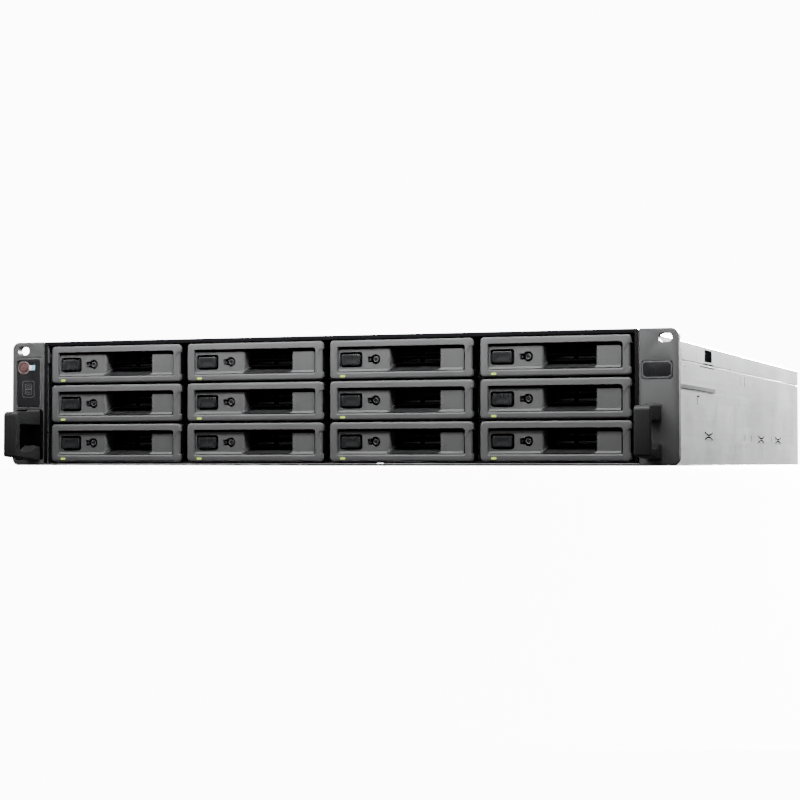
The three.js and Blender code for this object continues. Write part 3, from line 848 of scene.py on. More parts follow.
@dataclass
class TrayFace:
    """The fixed face inside a tray's handle. Its origin is the handle's lower left front corner."""

    tag: str
    plane: float = 2.0
    low: float = 6.5
    high: float = 19.86
    lip_front: float = 0.5
    lip_low: float = 4.96
    left: float = 5.6
    cheek: float = 41.2
    cheek_radius: float = 1.3
    back: float = 12.3
    relief: float = 2.9
    button_hole: tuple = (6.4, 7.8, 22.8, 18.1)
    lock: tuple = (32.2, 12.96)
    right_panel: tuple = (78.3, 94.4, 19.2)
    slats: tuple = (14.3, 10.2)
    vent: tuple = (43.0, 78.2)
    ramp_rise: float = 4.2

    def lock_outline(self) -> np.ndarray:
        """A round opening with a square flag at its left.

        Returns:
            The outline's points.
        """
        x, z = self.lock
        flag = np.array([[x - 5.6, z + 2.0], [x - 5.6, z - 2.0]])
        return np.vstack((arc((x, z), 3.4, -144, 144, 20), flag))

    def build_panel(self, origin: np.ndarray, body: str) -> None:
        """The left panel with its rounded cheek, the right panel and the sloping lip below both.

        Args:
            origin: the local origin in metres.
            body: the CAD body of the tray.
        """
        flat = np.array([[self.left, self.low], [self.cheek, self.low], [self.cheek, self.high],
                         [self.left + 0.8, self.high], [self.left, self.high - 0.8]])
        x0, z0, x1, z1 = self.button_hole
        shell = Shell(origin)
        shell.slab(flat, self.plane, self.plane + 3.5, 0.0,
                   (rounded((x0, z0), (x1, z1), 1.7), self.lock_outline()))
        lip = np.array([[self.lip_front, self.lip_low], [self.plane + 3.5, self.lip_low],
                        [self.plane + 3.5, self.low], [self.plane, self.low]])
        shell.slab(lip, self.left, self.cheek, axis=Axis.X)
        x0, x1, top = self.right_panel
        for end, y0, y1 in ((x1, self.plane, self.relief),
                            (x1 - 1.6, self.relief, self.back - 0.3)):
            square = np.vstack(([[x0, self.low - 0.1], [end, self.low - 0.1]],
                                arc((end - 1.6, top - 1.6), 1.6, 0, 90, 5), [[x0, top]]))
            shell.slab(square, y0, y1)
            foot = np.array([[x0 - 1.5, self.lip_low], [end, self.lip_low], [end, self.low],
                             [x0, self.low]])
            starts = [self.lip_front, self.lip_front, y0, y0] if y0 == self.plane else [y0] * 4
            front = np.column_stack((foot[:, 0], starts, foot[:, 1]))
            rear = np.column_stack((foot[:, 0], [y1] * 4, foot[:, 1]))
            shell.loft(np.array([front, rear]))
        profile = np.array([[self.plane, self.high], [self.plane, self.low],
                            [self.lip_front, self.lip_low],
                            [self.back, self.lip_low], [self.back, self.high]])
        turn = np.linspace(0, math.pi / 2, 9)
        across = np.append(self.cheek + self.cheek_radius * np.sin(turn),
                           self.cheek + self.cheek_radius)
        behind = np.append(self.cheek_radius * 1.2 * (1 - np.cos(turn)), self.back)
        rings = np.zeros((len(across), len(profile), 3))
        rings[:, :, 0] = across[:, None]
        rings[:, :, 1] = np.minimum(profile[None, :, 0] + behind[:, None], self.back)
        rings[:, :, 2] = profile[None, :, 1]
        shell.loft(rings[:-1])
        shell.build(f"tray_panel_{self.tag}", Finishes.panel, body, smooth=25)

    def build_vent(self, origin: np.ndarray, body: str) -> None:
        """The back plate with its air slots, the slats in front of it and a block behind the left
        panel, all black without reflection as painted shade of the vent and of the button and lock
        holes.

        Args:
            origin: the local origin in metres.
            body: the CAD body of the tray.
        """
        shell = Shell(origin)
        slots = tuple(rounded((x, z), (x + 13.0, z + 1.6), 0.7, 2)
                      for x in (47.5, 63.0) for z in (11.6, 16.4))
        plate = rounded((0.8, 0.3), (100.5, 25.8), 0.6, 2)
        shell.slab(plate, self.back, self.back + 1.2, 0.0, slots)
        x0, x1 = self.vent
        for z in self.slats:
            shell.box((x0 + 1, 6.0, z - 0.35), (x1 - 0.5, self.back + 0.2, z + 0.35))
        shell.box((self.left, 5.8, 5.4), (self.cheek, 6.8, self.high - 0.4))
        # Painted shade: the plate, slats and block behind the panel are in the unreflecting black.
        shell.build(f"tray_vent_{self.tag}", Finishes.painted_shade, body)
        ramp = np.array([[self.lip_front, self.lip_low], [self.back, self.lip_low],
                         [self.back, self.lip_low + self.ramp_rise]])
        floor = Shell(origin).slab(ramp, x0 - 0.4, x1 + 0.1, axis=Axis.X)
        floor.build(f"tray_ramp_{self.tag}", Finishes.fan, body)
        section = np.array([[self.cheek, 0.0], [x0 - 0.4, 0.0], [x0 - 0.4, 1.5], [self.cheek, 1.5]])
        ends = ((self.lip_front, self.lip_low, 0.0),
                (self.back - 0.1, self.lip_low + self.ramp_rise, 1.0))
        rings = [np.column_stack((section[:, 0] + shift, np.full(4, y), section[:, 1] + z))
                 for y, z, shift in ends]
        Shell(origin).loft(np.array(rings)).build(f"tray_fillet_{self.tag}", Finishes.tray, body)

    def build_lock(self, origin: np.ndarray, body: str) -> None:
        """The key lock: a bright ring round a dark core with a key slot, and a flag beside it.

        Args:
            origin: the local origin in metres.
            body: the CAD body of the tray.
        """
        x, z = self.lock
        y = self.plane
        ring = [(1.25, y + 2.4), (1.25, y + 0.8), (1.4, y + 0.5), (1.7, y + 0.5), (1.85, y + 0.8),
                (1.85, y + 2.4)]
        shell = Shell(origin).turned(ring, self.lock)
        shell.box((x - 4.9, y + 1.5, z - 0.9), (x - 3.9, y + 3, z + 0.9), 0.2)
        shell.build(f"tray_lock_ring_{self.tag}", Finishes.tray, body)
        core = Shell(origin).turned([(0.01, y + 0.9), (1.1, y + 0.9), (1.2, y + 1.1),
                                     (1.2, y + 3)], self.lock)
        core.box((x - 0.25, y + 0.7, z - 0.8), (x + 0.25, y + 1.1, z + 0.8), 0.05)
        core.build(f"tray_lock_core_{self.tag}", Finishes.gloss, body)

    def build(self) -> None:
        """Makes the panel, vent and lock."""
        origin = corner(f"tray_handle_{self.tag}")
        body = f"tray_{self.tag}"
        self.build_panel(origin, body)
        self.build_vent(origin, body)
        self.build_lock(origin, body)


@dataclass
class TrayButton:
    """The dished release button. Its origin is the handle's lower left front corner."""

    tag: str
    area: tuple = (8.3, 9.2, 21.4, 16.6)
    front: float = 0.55
    radius: float = 1.3
    dish: float = 1.3
    edge: tuple = ((0.0, 3.0, 0), (0.0, 0.35, 0), (0.1, 0.16, 1), (0.3, 0.05, 1), (0.6, 0.0, 1),
                   (1.2, 0.0, 1), (2.2, 0.0, 1), (3.2, 0.0, 1))
    ribs: int = 5
    rib_start: float = 1.5
    rib_pitch: float = 0.95

    def build(self) -> None:
        """Makes the button: rings of its outline at growing insets, sunk by dish (1 - u^2) across.

        Each step of the edge is an inset, a depth behind the front, and whether the dish applies.
        """
        node = f"tray_button_{self.tag}"
        x0, z0, x1, z1 = self.area
        middle, half = (x0 + x1) / 2, (x1 - x0) / 2
        rings = []
        for gap, sunk, dished in self.edge:
            radius = max(self.radius - gap, 0.05)
            flat = rounded((x0 + gap, z0 + gap), (x1 - gap, z1 - gap), radius, 5)
            hollow = self.dish * (1 - ((flat[:, 0] - middle) / half) ** 2)
            rings.append(np.column_stack((flat[:, 0], self.front + sunk + dished * hollow,
                                          flat[:, 1])))
        shell = Shell(corner(f"tray_handle_{self.tag}")).loft(np.array(rings))
        for rib in range(self.ribs):
            x = x0 + self.rib_start + rib * self.rib_pitch
            depth = self.front + self.dish * (1 - ((x - middle) / half) ** 2)
            shell.box((x - 0.2, depth - 0.12, z0 + 1.4), (x + 0.2, depth + 0.6, z1 - 1.4), 0.08)
        shell.build(f"tray_release_{self.tag}", Finishes.button, node, (node,))


@dataclass
class TraySled:
    """The sheet sled and the 3.5 inch drive that it carries. Origin as for the tray's face."""

    tag: str
    width: float = 101.35
    sled_width: float = 103.6
    sled_end: float = 190.0
    sheet: float = 0.9
    drive_start: float = 30.0
    drive_length: float = 147.0
    drive_width: float = 101.6
    drive_height: float = 25.2

    def build_sled(self, origin: np.ndarray) -> None:
        """Side rails, front floor and rear tie of the sled.

        Args:
            origin: the local origin in metres.
        """
        x0 = (self.width - self.sled_width) / 2
        x1 = x0 + self.sled_width
        node = f"tray_{self.tag}"
        shell = Shell(origin)
        side = np.array([[13.4, 0.0], [self.sled_end, 0.0], [self.sled_end, 6.0],
                         [self.sled_end - 8, 16.8],
                         [26.0, 16.8], [20.0, 25.8], [13.4, 25.8]])
        holes = tuple(circle((y, 6.4), 1.6, 12) for y in (60.0, 101.0, 161.0))
        slots = tuple(rounded((y, 10.0), (y + 18, 13.0), 1.4, 2)
                      for y in (38.0, 75.0, 115.0, 140.0))
        for edge in (x0, x1 - self.sheet):
            shell.slab(side, edge, edge + self.sheet, 0.0, holes + slots, Axis.X)
        shell.box((x0 + self.sheet, 13.5, 0.0), (x1 - self.sheet, self.drive_start - 0.4, 1.0))
        shell.box((x0 + self.sheet, self.sled_end - 6, 0.0), (x1 - self.sheet, self.sled_end, 3.0))
        shell.build(f"tray_sled_{self.tag}", Finishes.fan, node, (node,))

    def build_drive(self, origin: np.ndarray) -> None:
        """Cast body, lid with its spindle rise and screws, and the circuit board underneath.

        Args:
            origin: the local origin in metres.
        """
        body = f"tray_{self.tag}"
        x0 = (self.width - self.drive_width) / 2 + 0.1
        x1 = x0 + self.drive_width - 0.2
        y0, y1 = self.drive_start, self.drive_start + self.drive_length
        shell = Shell(origin)
        case = rounded((x0, y0), (x1, y1), 3.0, 4)
        shell.slab(case, self.drive_height - 1.6, 2.2, 0.5, axis=Axis.Z)
        shell.build(f"drive_case_{self.tag}", Finishes.drive, body)
        lid = Shell(origin)
        plate = rounded((x0 + 3, y0 + 3), (x1 - 3, y1 - 20), (4, 14, 14, 4), 6)
        lid.slab(plate, self.drive_height - 0.5, self.drive_height - 1.5, 0.4, axis=Axis.Z)
        centre = ((x0 + x1) / 2, y0 + 54)
        top = self.drive_height
        lid.turned([(0.01, top - 0.1), (11, top - 0.1), (12, top - 0.3), (12, top - 0.9)], centre,
                   Axis.Z)
        for angle in range(6):
            at = (centre[0] + 43 * math.cos(angle * math.pi / 3),
                  centre[1] + 43 * math.sin(angle * math.pi / 3))
            lid.turned([(0.8, top - 0.4), (0.8, top), (1.9, top), (2.1, top - 0.2),
                        (2.1, top - 0.8)], at,
                       Axis.Z, 12)
        lid.build(f"drive_lid_{self.tag}", Finishes.lid, body)
        board = Shell(origin)
        board.slab(rounded((x0 + 4, y0 + 40), (x1 - 4, y1 - 2), 2, 3), 0.6, 1.9, axis=Axis.Z)
        board.build(f"drive_board_{self.tag}", Finishes.board, body)

    def build(self) -> None:
        """Makes the sled and the drive."""
        origin = corner(f"tray_handle_{self.tag}")
        self.build_sled(origin)
        self.build_drive(origin)


# ---- rack ears and front controls ------------------------------------------------------------

@dataclass
class RackEar:
    """A rack ear plate, about the front origin. Side is -1 at the left and 1 at the right."""

    side: int
    inner: float = 215.55
    outer: float = 241.3
    height: float = 87.5
    thickness: float = 6.0
    face_depth: float = 1.4
    corner_radius: float = 5.0
    slot_centre: float = 232.6
    slot_height: float = 81.5
    slot_size: tuple = (9.0, 6.0)
    pockets: tuple = (((217.6, 40.5), (238.4, 76.7)), ((217.1, 55.0), (237.4, 66.7)))
    pocket_depth: float = 3.1

    def build(self) -> None:
        """Makes the plate with its rack slot and the pocket for its panel."""
        name = "ear_left" if self.side < 0 else "ear_right"
        r = self.corner_radius
        plate = rounded((self.inner, 0), (self.outer, self.height), (0.6, r, r, 0.6), 6)
        w, h = self.slot_size
        hole = rounded((self.slot_centre - w / 2, self.slot_height - h / 2),
                       (self.slot_centre + w / 2, self.slot_height + h / 2), h / 2 - 0.02, 8)
        pocket = rounded(*self.pockets[0 if self.side < 0 else 1], 1.8)
        if self.side < 0:
            plate, hole, pocket = (loop[::-1] * [-1, 1] for loop in (plate, hole, pocket))
        face, core = Shell(front_origin()), Shell(front_origin())
        face.slab(plate, 0, self.face_depth, 0.28, (hole, pocket))
        face.build(f"{name}_face", Finishes.ear, replaces=(name,))
        core.slab(inset(plate, 0.08), self.face_depth, self.pocket_depth, 0.0, (hole, pocket))
        core.slab(inset(plate, 0.08), self.pocket_depth, self.thickness, 0.0, (hole,))
        core.build(f"{name}_core", Finishes.fan)


@dataclass
class FrontGrip:
    """A fixed front pull handle, drawn from the side in Y and Z about the front origin."""

    side: int
    reach: float = 33.0
    bottom: float = 3.5
    top: float = 39.5
    round_over: float = 3.5
    shade_surround: tuple = ((-238.7, 4.0), (-216.3, 39.8))

    def profile(self) -> np.ndarray:
        """The side outline: the arms, the front bar and the finger opening.

        Returns:
            The outline's points in Y and Z.
        """
        z = self.bottom
        back = -0.3
        inner = [[back, z + 9.5], [-4.0, z + 10.5], [-13.0, z + 6.3], [-24.0, z + 6.3]]
        heel = arc((-25.5, z + 8.8), 2.5, -60, -180, 4)
        brow = arc((-26.0, 26.5), 2.0, 180, 90, 4)
        crown = arc((-self.reach + self.round_over, self.top - 2 - self.round_over),
                    self.round_over, 90, 180, 6)
        toe = arc((-self.reach + 1.2, z + 3.6), 1.2, 180, 270, 4)
        arm = [[back, 28.5], [back, self.top], [-4.0, self.top - 1.4]]
        return np.vstack((inner, heel, brow, arm, crown, toe, [[back, z]]))

    def build(self) -> None:
        """Makes the handle with soft side edges and, at the left, a black surround of painted shade
        round its base.
        """
        name = "handle_left" if self.side < 0 else "handle_right"
        low, high = (np.array(end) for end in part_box(name))
        x0, x1 = low[0] / MM, high[0] / MM
        outline = self.profile()
        area = np.sum(outline[:, 0] * np.roll(outline[:, 1], -1)
                      - np.roll(outline[:, 0], -1) * outline[:, 1])
        outline = outline if area > 0 else outline[::-1]
        shell = Shell(front_origin())
        shell.slab(outline, x0, x1, 0.7, axis=Axis.X, both=True)
        shell.build(f"{name}_grip", Finishes.grip, replaces=(name,), smooth=40)
        if self.side < 0:
            # Painted shade: a black, unreflecting outline on the ear round the grip's base, where
            # the grip's shade falls.
            shade_surround = Shell(front_origin())
            low, high = self.shade_surround
            shade_surround.slab(rounded(low, high, (1.0, 1.0, 2.5, 2.5), 5), -0.2, 0.5, 0.15)
            shade_surround.build(f"{name}_surround", Finishes.painted_shade)


@dataclass
class ControlPanel:
    """The control panel on the left ear: lights, power button and a seven-segment window."""

    low: tuple = (-238.2, 40.7)
    high: tuple = (-217.8, 76.5)
    plate_low: tuple = (-237.6, 41.3)
    plate_high: tuple = (-219.2, 75.1)
    power: tuple = (-232.1, 69.4)
    lights: tuple = ((-228.3, "lamp_white"), (-225.6, "lamp_cyan"))
    digit_low: tuple = (-233.1, 48.3)
    digit_high: tuple = (-223.5, 60.0)

    @staticmethod
    def frame_ring(shell: Shell, low: tuple, high: tuple, line: float, radius: float,
                   front: float = -0.22, back: float = 0.0) -> None:
        """A thin rounded frame.

        Args:
            shell: the shell that it is added to.
            low: its lower left corner.
            high: its upper right corner.
            line: the width of its line.
            radius: the radius of its outer corners.
            front: where it starts along Y.
            back: where it ends along Y.
        """
        outer = rounded(low, high, radius)
        hole = rounded((low[0] + line, low[1] + line), (high[0] - line, high[1] - line),
                       max(radius - line, 0.1))
        shell.slab(outer, front, back, 0.0, (hole,))

    def build(self) -> None:
        """Makes the border, plate, ring, button, lights and digit."""
        origin = front_origin()
        border = Shell(origin)
        border.slab(rounded(self.low, self.high, 1.6), -0.25, 0.6, 0.2,
                    (rounded(self.plate_low, self.plate_high, 1.4),))
        border.build("control_panel_border", Finishes.border)
        plate = Shell(origin)
        hole = circle(self.power, 3.7, 28)
        plate.slab(rounded((self.plate_low[0] + 0.1, self.plate_low[1] + 0.1),
                           (self.plate_high[0] - 0.1, self.plate_high[1] - 0.1), 1.3), -0.15, 2.0,
                           0.15, (hole,))
        plate.build("control_panel_plate", Finishes.gloss, replaces=("control_panel",))
        ring = Shell(origin)
        low = (self.power[0] - 4.5, self.power[1] - 4.5)
        high = (self.power[0] + 4.5, self.power[1] + 4.5)
        ring.slab(rounded(low, high, 3.6, 6), -0.5, 0.2, 0.25, (circle(self.power, 3.75, 28),))
        ring.build("power_ring", Finishes.ring)
        self.build_button(origin)
        self.build_digit(origin)
        for x, lamp in self.lights:
            window = Shell(origin)
            window.slab(rounded((x, 67.6), (x + 2.5, 71.1), 0.5), -0.3, 0.4, 0.1)
            window.build(f"panel_{lamp}", getattr(Finishes, lamp))

    def build_button(self, origin: tuple) -> None:
        """The power button with the usual mark of a broken ring and a bar.

        Args:
            origin: the local origin in metres.
        """
        cap = Shell(origin)
        cap.turned([(0.01, -0.75), (2.6, -0.72), (3.2, -0.55), (3.4, -0.2), (3.4, 0.9)], self.power)
        cap.build("power_button_cap", Finishes.power, "power_button", ("power_button",))
        mark = Shell(origin)
        outer = arc(self.power, 1.7, 125, 415, 20)
        inner = arc(self.power, 1.3, 415, 125, 20)
        mark.slab(np.vstack((outer, inner)), -0.82, -0.6)
        mark.box((self.power[0] - 0.2, -0.82, self.power[1] + 0.4),
                 (self.power[0] + 0.2, -0.6, self.power[1] + 2.0),
                 0.05)
        mark.build("power_mark", Finishes.ring, "power_button")

    def build_digit(self, origin: tuple) -> None:
        """The window's frame and the outline of an unlit figure eight.

        Args:
            origin: the local origin in metres.
        """
        shell = Shell(origin)
        self.frame_ring(shell, self.digit_low, self.digit_high, 0.35, 1.3)
        x0, x1 = self.digit_low[0] + 2.1, self.digit_high[0] - 2.1
        middle = (self.digit_low[1] + self.digit_high[1]) / 2
        for z0, z1 in ((self.digit_low[1] + 2.0, middle - 0.05),
                       (middle + 0.05, self.digit_high[1] - 2.0)):
            self.frame_ring(shell, (x0, z0), (x1, z1), 0.3, 0.5)
            self.frame_ring(shell, (x0 + 1.3, z0 + 1.2), (x1 - 1.3, z1 - 1.2), 0.25, 0.3)
        shell.build("panel_digit", Finishes.mark)


@dataclass
class NamePlate:
    """The blank dark plate on the right ear, in its pale border."""

    low: tuple = (217.3, 55.2)
    high: tuple = (237.2, 66.5)

    def build(self) -> None:
        """Makes the border and the plate."""
        origin = front_origin()
        border = Shell(origin)
        inner = rounded((self.low[0] + 1.0, self.low[1] + 1.2),
                        (self.high[0] - 1.0, self.high[1] - 1.2), 1.9)
        border.slab(rounded(self.low, self.high, 2.7), -0.35, 0.5, 0.3, (inner,))
        border.build("name_plate_border", Finishes.border)
        plate = Shell(origin)
        face = rounded((self.low[0] + 0.9, self.low[1] + 1.1),
                       (self.high[0] - 0.9, self.high[1] - 1.1), 1.9)
        plate.slab(face, 0.0, 1.4, 0.1)
        plate.build("name_plate_face", Finishes.gloss, replaces=("name_plate",))


@dataclass
class FrontTrim:
    """The black moulded trim over the case's front edges, about the front origin."""

    post_inner_left: float = -211.2
    post_inner_right: float = 212.7
    outer: float = 215.4
    low: float = 1.25
    high: float = 86.25
    front: float = 4.0
    depth: float = 13.0
    lip_low: float = 0.55

    def build(self) -> None:
        """Makes the posts with their ribs, the top bar, and the bright lip over a black strip; that
        strip and one along the foot of each side are painted contact shadow.
        """
        shell = Shell(front_origin())
        shell.box((-self.outer, self.front, self.low),
                  (self.post_inner_left, self.depth, self.high), 0.4)
        shell.box((self.post_inner_right, self.front, self.low),
                  (self.outer, self.depth, self.high), 0.4)
        shell.box((self.post_inner_left + 0.02, 1.2, 84.6),
                  (self.post_inner_right - 0.02, 5.6, self.high), 0.3)
        for x in (self.post_inner_left - 2.2, self.post_inner_right + 0.9):
            for z in np.arange(6.0, 80.0, 9.2):
                shell.box((x, self.front - 0.8, z), (x + 1.0, self.front + 0.4, z + 6.4), 0.2)
        # Painted contact shadow: a black strip under the bright lip along the front.
        shell.box((-self.outer + 0.1, -0.32, 0.0), (self.outer - 0.1, -0.02, self.lip_low), 0.05)
        for side in (-1, 1):
            edge = sorted((side * self.outer, side * (self.outer - 2.6)))
            shell.box((edge[0], -0.32, self.low), (edge[1], -0.02, self.high), 0.05)
            # Painted contact shadow: a black strip along the foot of each side wall.
            face = sorted((side * (self.outer + 0.05), side * (self.outer - 0.1)))
            shell.box((face[0], 6.2, 0.0), (face[1], 639.5, self.lip_low), 0.05)
        shell.box((-self.outer + 0.2, -0.3, 84.7), (self.outer - 0.2, 0.5, 87.35), 0.2)
        shell.build("front_trim", Finishes.black)
        lip = Shell(front_origin())
        lip.box((-self.outer + 0.1, -0.34, self.lip_low), (self.outer - 0.1, -0.02, self.low), 0.1)
        lip.build("front_lip", Finishes.steel)


# ---- case ------------------------------------------------------------------------------------

@dataclass
class CaseDetails:
    """Marks of painted shade, latch, ribs and screws on the steel case, about the front origin."""

    half_width: float = 215.25
    top: float = 87.5
    slits: tuple = ((204, 74.15, 241, 74.75), (193, 71.6, 246, 72.3), (350.2, 63, 351.4, 71),
                    (369.2, 63, 370.4, 71), (304.5, 73.95, 309.5, 74.45), (369.5, 19.5, 371, 24),
                    (399.5, 19.5, 401, 24), (494.5, 20, 496, 24), (182, 43.6, 183.6, 50.4),
                    (182, 49.4, 190, 50.4))
    clip_places: tuple = (223.6, 445.0, 528.8)
    clip_height: float = 21.5
    clip_reach: float = 13.5
    clip_gap: float = 0.75
    clip_bow: float = 1.9
    clip_line: float = 0.55
    clip_plate: tuple = (12.4, 2.6)
    window: tuple = (209.6, 236.5, 76.0, 84.8)
    rib: tuple = (7.0, 243.5, 250.6, 54.2, 56.8)

    def wall(self, shell: Shell, outline: np.ndarray, side: int, proud: float,
             depth: float) -> None:
        """A slab on a side wall, from a little proud of it to a depth inside it."""
        face = side * self.half_width
        shell.slab(outline, face + side * proud, face - side * depth, axis=Axis.X)

    def build_slits(self) -> None:
        """Dark slits and the window along both side walls, and two strips bowed by gap + bow u^2 at
        each clip: all painted shade in the unreflecting black.
        """
        shell = Shell(front_origin())
        for side in (-1, 1):
            for y0, z0, y1, z1 in self.slits:
                self.wall(shell, rounded((y0, z0), (y1, z1), 0.25, 2), side, 0.04, 0.3)
            y0, y1, z0, z1 = self.window
            self.wall(shell, rounded((y0 + 0.3, z0 + 0.3), (y1 - 9, z1 - 0.3), 0.5, 3), side,
                      -0.25, 0.8)
        along = np.linspace(-self.clip_reach, self.clip_reach, 19)
        bow = self.clip_gap + self.clip_bow * (along / self.clip_reach) ** 2
        for place in self.clip_places:
            for sign in (-1, 1):
                middle = self.clip_height + sign * bow
                lower = np.column_stack((place + along, middle - self.clip_line))
                upper = np.column_stack((place + along, middle + self.clip_line))[::-1]
                for side in (-1, 1):
                    self.wall(shell, np.vstack((lower, upper)), side, 0.16, 0.0)
        # Painted shade: the slits, window and clip gaps are black marks on the walls.
        shell.build("side_slits", Finishes.painted_shade)

    def build_latch(self) -> None:
        """The cover's latch block seen through its side window, riding on the cover; its
        unreflecting black is painted shade in the window.
        """
        shell = Shell(front_origin())
        y0, y1, z0, z1 = self.window
        for side in (-1, 1):
            self.wall(shell, rounded((y1 - 8.8, z0 + 0.6), (y1 - 0.4, z1 - 0.6), 0.5, 3), side,
                      -0.2, 0.75)
        shell.build("cover_latch", Finishes.painted_shade, "top_cover")

    def build_bridges(self) -> None:
        """The pressed ribs, in darker zinc as painted shade, and the clip plates that close the
        rail clip holes.
        """
        shell = Shell(front_origin())
        for place in self.clip_places:
            y, z = self.clip_plate
            plate = rounded((place - y, self.clip_height - z), (place + y, self.clip_height + z),
                            1.2)
            for side in (-1, 1):
                self.wall(shell, plate, side, 0.1, 0.7)
        shell.build("rail_clip_bridges", Finishes.steel)
        bars = Shell(front_origin())
        start, shoulder, tip, low, high = self.rib
        middle = (low + high) / 2
        for side in (-1, 1):
            face = side * self.half_width
            section = np.array([[face - side * 0.1, low], [face + side * 0.55, low],
                                [face + side * 1.1, high],
                                [face - side * 0.1, high]])
            ends = ((start, 1.0), (shoulder, 1.0), (tip, 0.05))
            rings = [np.column_stack((face + (section[:, 0] - face) * grow, np.full(4, y),
                                      middle + (section[:, 1] - middle) * grow))
                     for y, grow in ends]
            bars.loft(np.array(rings))
        bars.build("side_ribs", Finishes.rib)

    def build_screws(self) -> None:
        """Countersunk screws on the covers and side walls: shallow domes."""
        fixed, lifting = Shell(front_origin()), Shell(front_origin())
        dome = [(0.01, self.top), (2.2, self.top), (2.6, self.top - 0.3)]
        for x in (-180, -60, 60, 180):
            fixed.turned(dome, (x, 12), Axis.Z, 16)
            lifting.turned(dome, (x, 625), Axis.Z, 16)
        for side in (-1, 1):
            face = side * (self.half_width + 0.35)
            for y in (60, 120):
                fixed.turned([(0.01, face), (1.9, face - side * 0.1), (2.4, face - side * 0.5)],
                             (y, 80.5),
                             Axis.X, 16)
        fixed.build("front_cover_screws", Finishes.screw)
        lifting.build("top_cover_screws", Finishes.screw, "top_cover")

    def build(self) -> None:
        """Makes every detail."""
        self.build_slits()
        self.build_latch()
        self.build_bridges()
        self.build_screws()


# ---- rear ------------------------------------------------------------------------------------

@dataclass
class RearPorts:
    """The port plate and its sockets in the rear panel, about the front origin."""

    plane: float = 637.6
    panel: float = 640.0
    low: tuple = (-107.6, 10.0)
    high: tuple = (33.6, 26.3)
    network: tuple = (-100.0, -82.0, -64.0, -46.0)
    serial: tuple = (-24.0, -8.0)
    expansion: float = 10.0
    cards: tuple = (58.0, 93.0, 128.0, 163.0)
    screw: tuple = ((0.01, 2.6), (2.2, 2.5), (3.0, 1.9), (3.0, 1.0))

    def build(self) -> None:
        """Makes the plate, socket linings, contacts, lights and card slot covers."""
        origin = front_origin()
        openings = [((x, 11.4), (x + 14.4, 23.6)) for x in self.network]
        openings += [((x, 14.5), (x + 13.2, 20.2)) for x in self.serial]
        openings.append(((self.expansion, 14.0), (self.expansion + 20.0, 21.5)))
        holes = tuple(rounded(a, b, 0.4, 2) for a, b in openings)
        plate = Shell(origin)
        plate.slab(rounded(self.low, self.high, 0.5), self.plane + 1.0, self.plane, 0.1, holes)
        plate.build("port_plate", Finishes.supply)
        lining = Shell(origin)
        for (x0, z0), (x1, z1) in openings:
            outer = rounded((x0 - 0.6, z0 - 0.6), (x1 + 0.6, z1 + 0.6), 0.4, 2)
            lining.slab(outer, self.plane - 0.1, self.plane - 0.6, 0.0,
                        (rounded((x0, z0), (x1, z1), 0.4, 2),))
            lining.box((x0 + 0.2, self.plane - 1.4, z0 + 0.2),
                       (x1 - 0.2, self.plane - 1.0, z1 - 0.2), 0.05)
        lining.build("port_linings", Finishes.black)
        contacts, lamps = Shell(origin), Shell(origin)
        for x in self.network:
            for pin in range(8):
                left = x + 3.1 + pin * 1.05
                contacts.box((left, self.plane - 1.0, 20.2), (left + 0.45, self.plane - 0.5, 23.0),
                             0.05)
            for left in (x + 0.6, x + 11.4):
                lamps.box((left, self.plane - 0.9, 11.9), (left + 2.4, self.plane - 0.2, 13.2), 0.1)
        for x in self.serial:
            contacts.box((x + 1, self.plane - 1.0, 16.6), (x + 12.2, self.plane - 0.2, 18.2), 0.1)
        contacts.build("port_contacts", Finishes.gold)
        lamps.build("port_lamps", Finishes.lamp)
        self.build_cards(origin)

    def build_cards(self, origin: tuple) -> None:
        """Slotted covers over the expansion card places, each with its screw.

        Args:
            origin: the local origin in metres.
        """
        covers, screws = Shell(origin), Shell(origin)
        for x in self.cards:
            slots = tuple(rounded((x + 3.0, z), (x + 11.0, z + 2.2), 1.0, 3)
                          for z in np.arange(17.0, 70.0, 4.4))
            covers.slab(rounded((x, 11.0), (x + 14.0, 78.0), 1.0), self.panel + 1.0,
                        self.panel + 0.05, 0.15, slots)
            profile = [(radius, self.panel + rise) for radius, rise in self.screw]
            screws.turned(profile, (x + 7.0, 75.0), Axis.Y, 18)
        covers.build("card_slot_covers", Finishes.supply)
        screws.build("card_slot_screws", Finishes.screw)


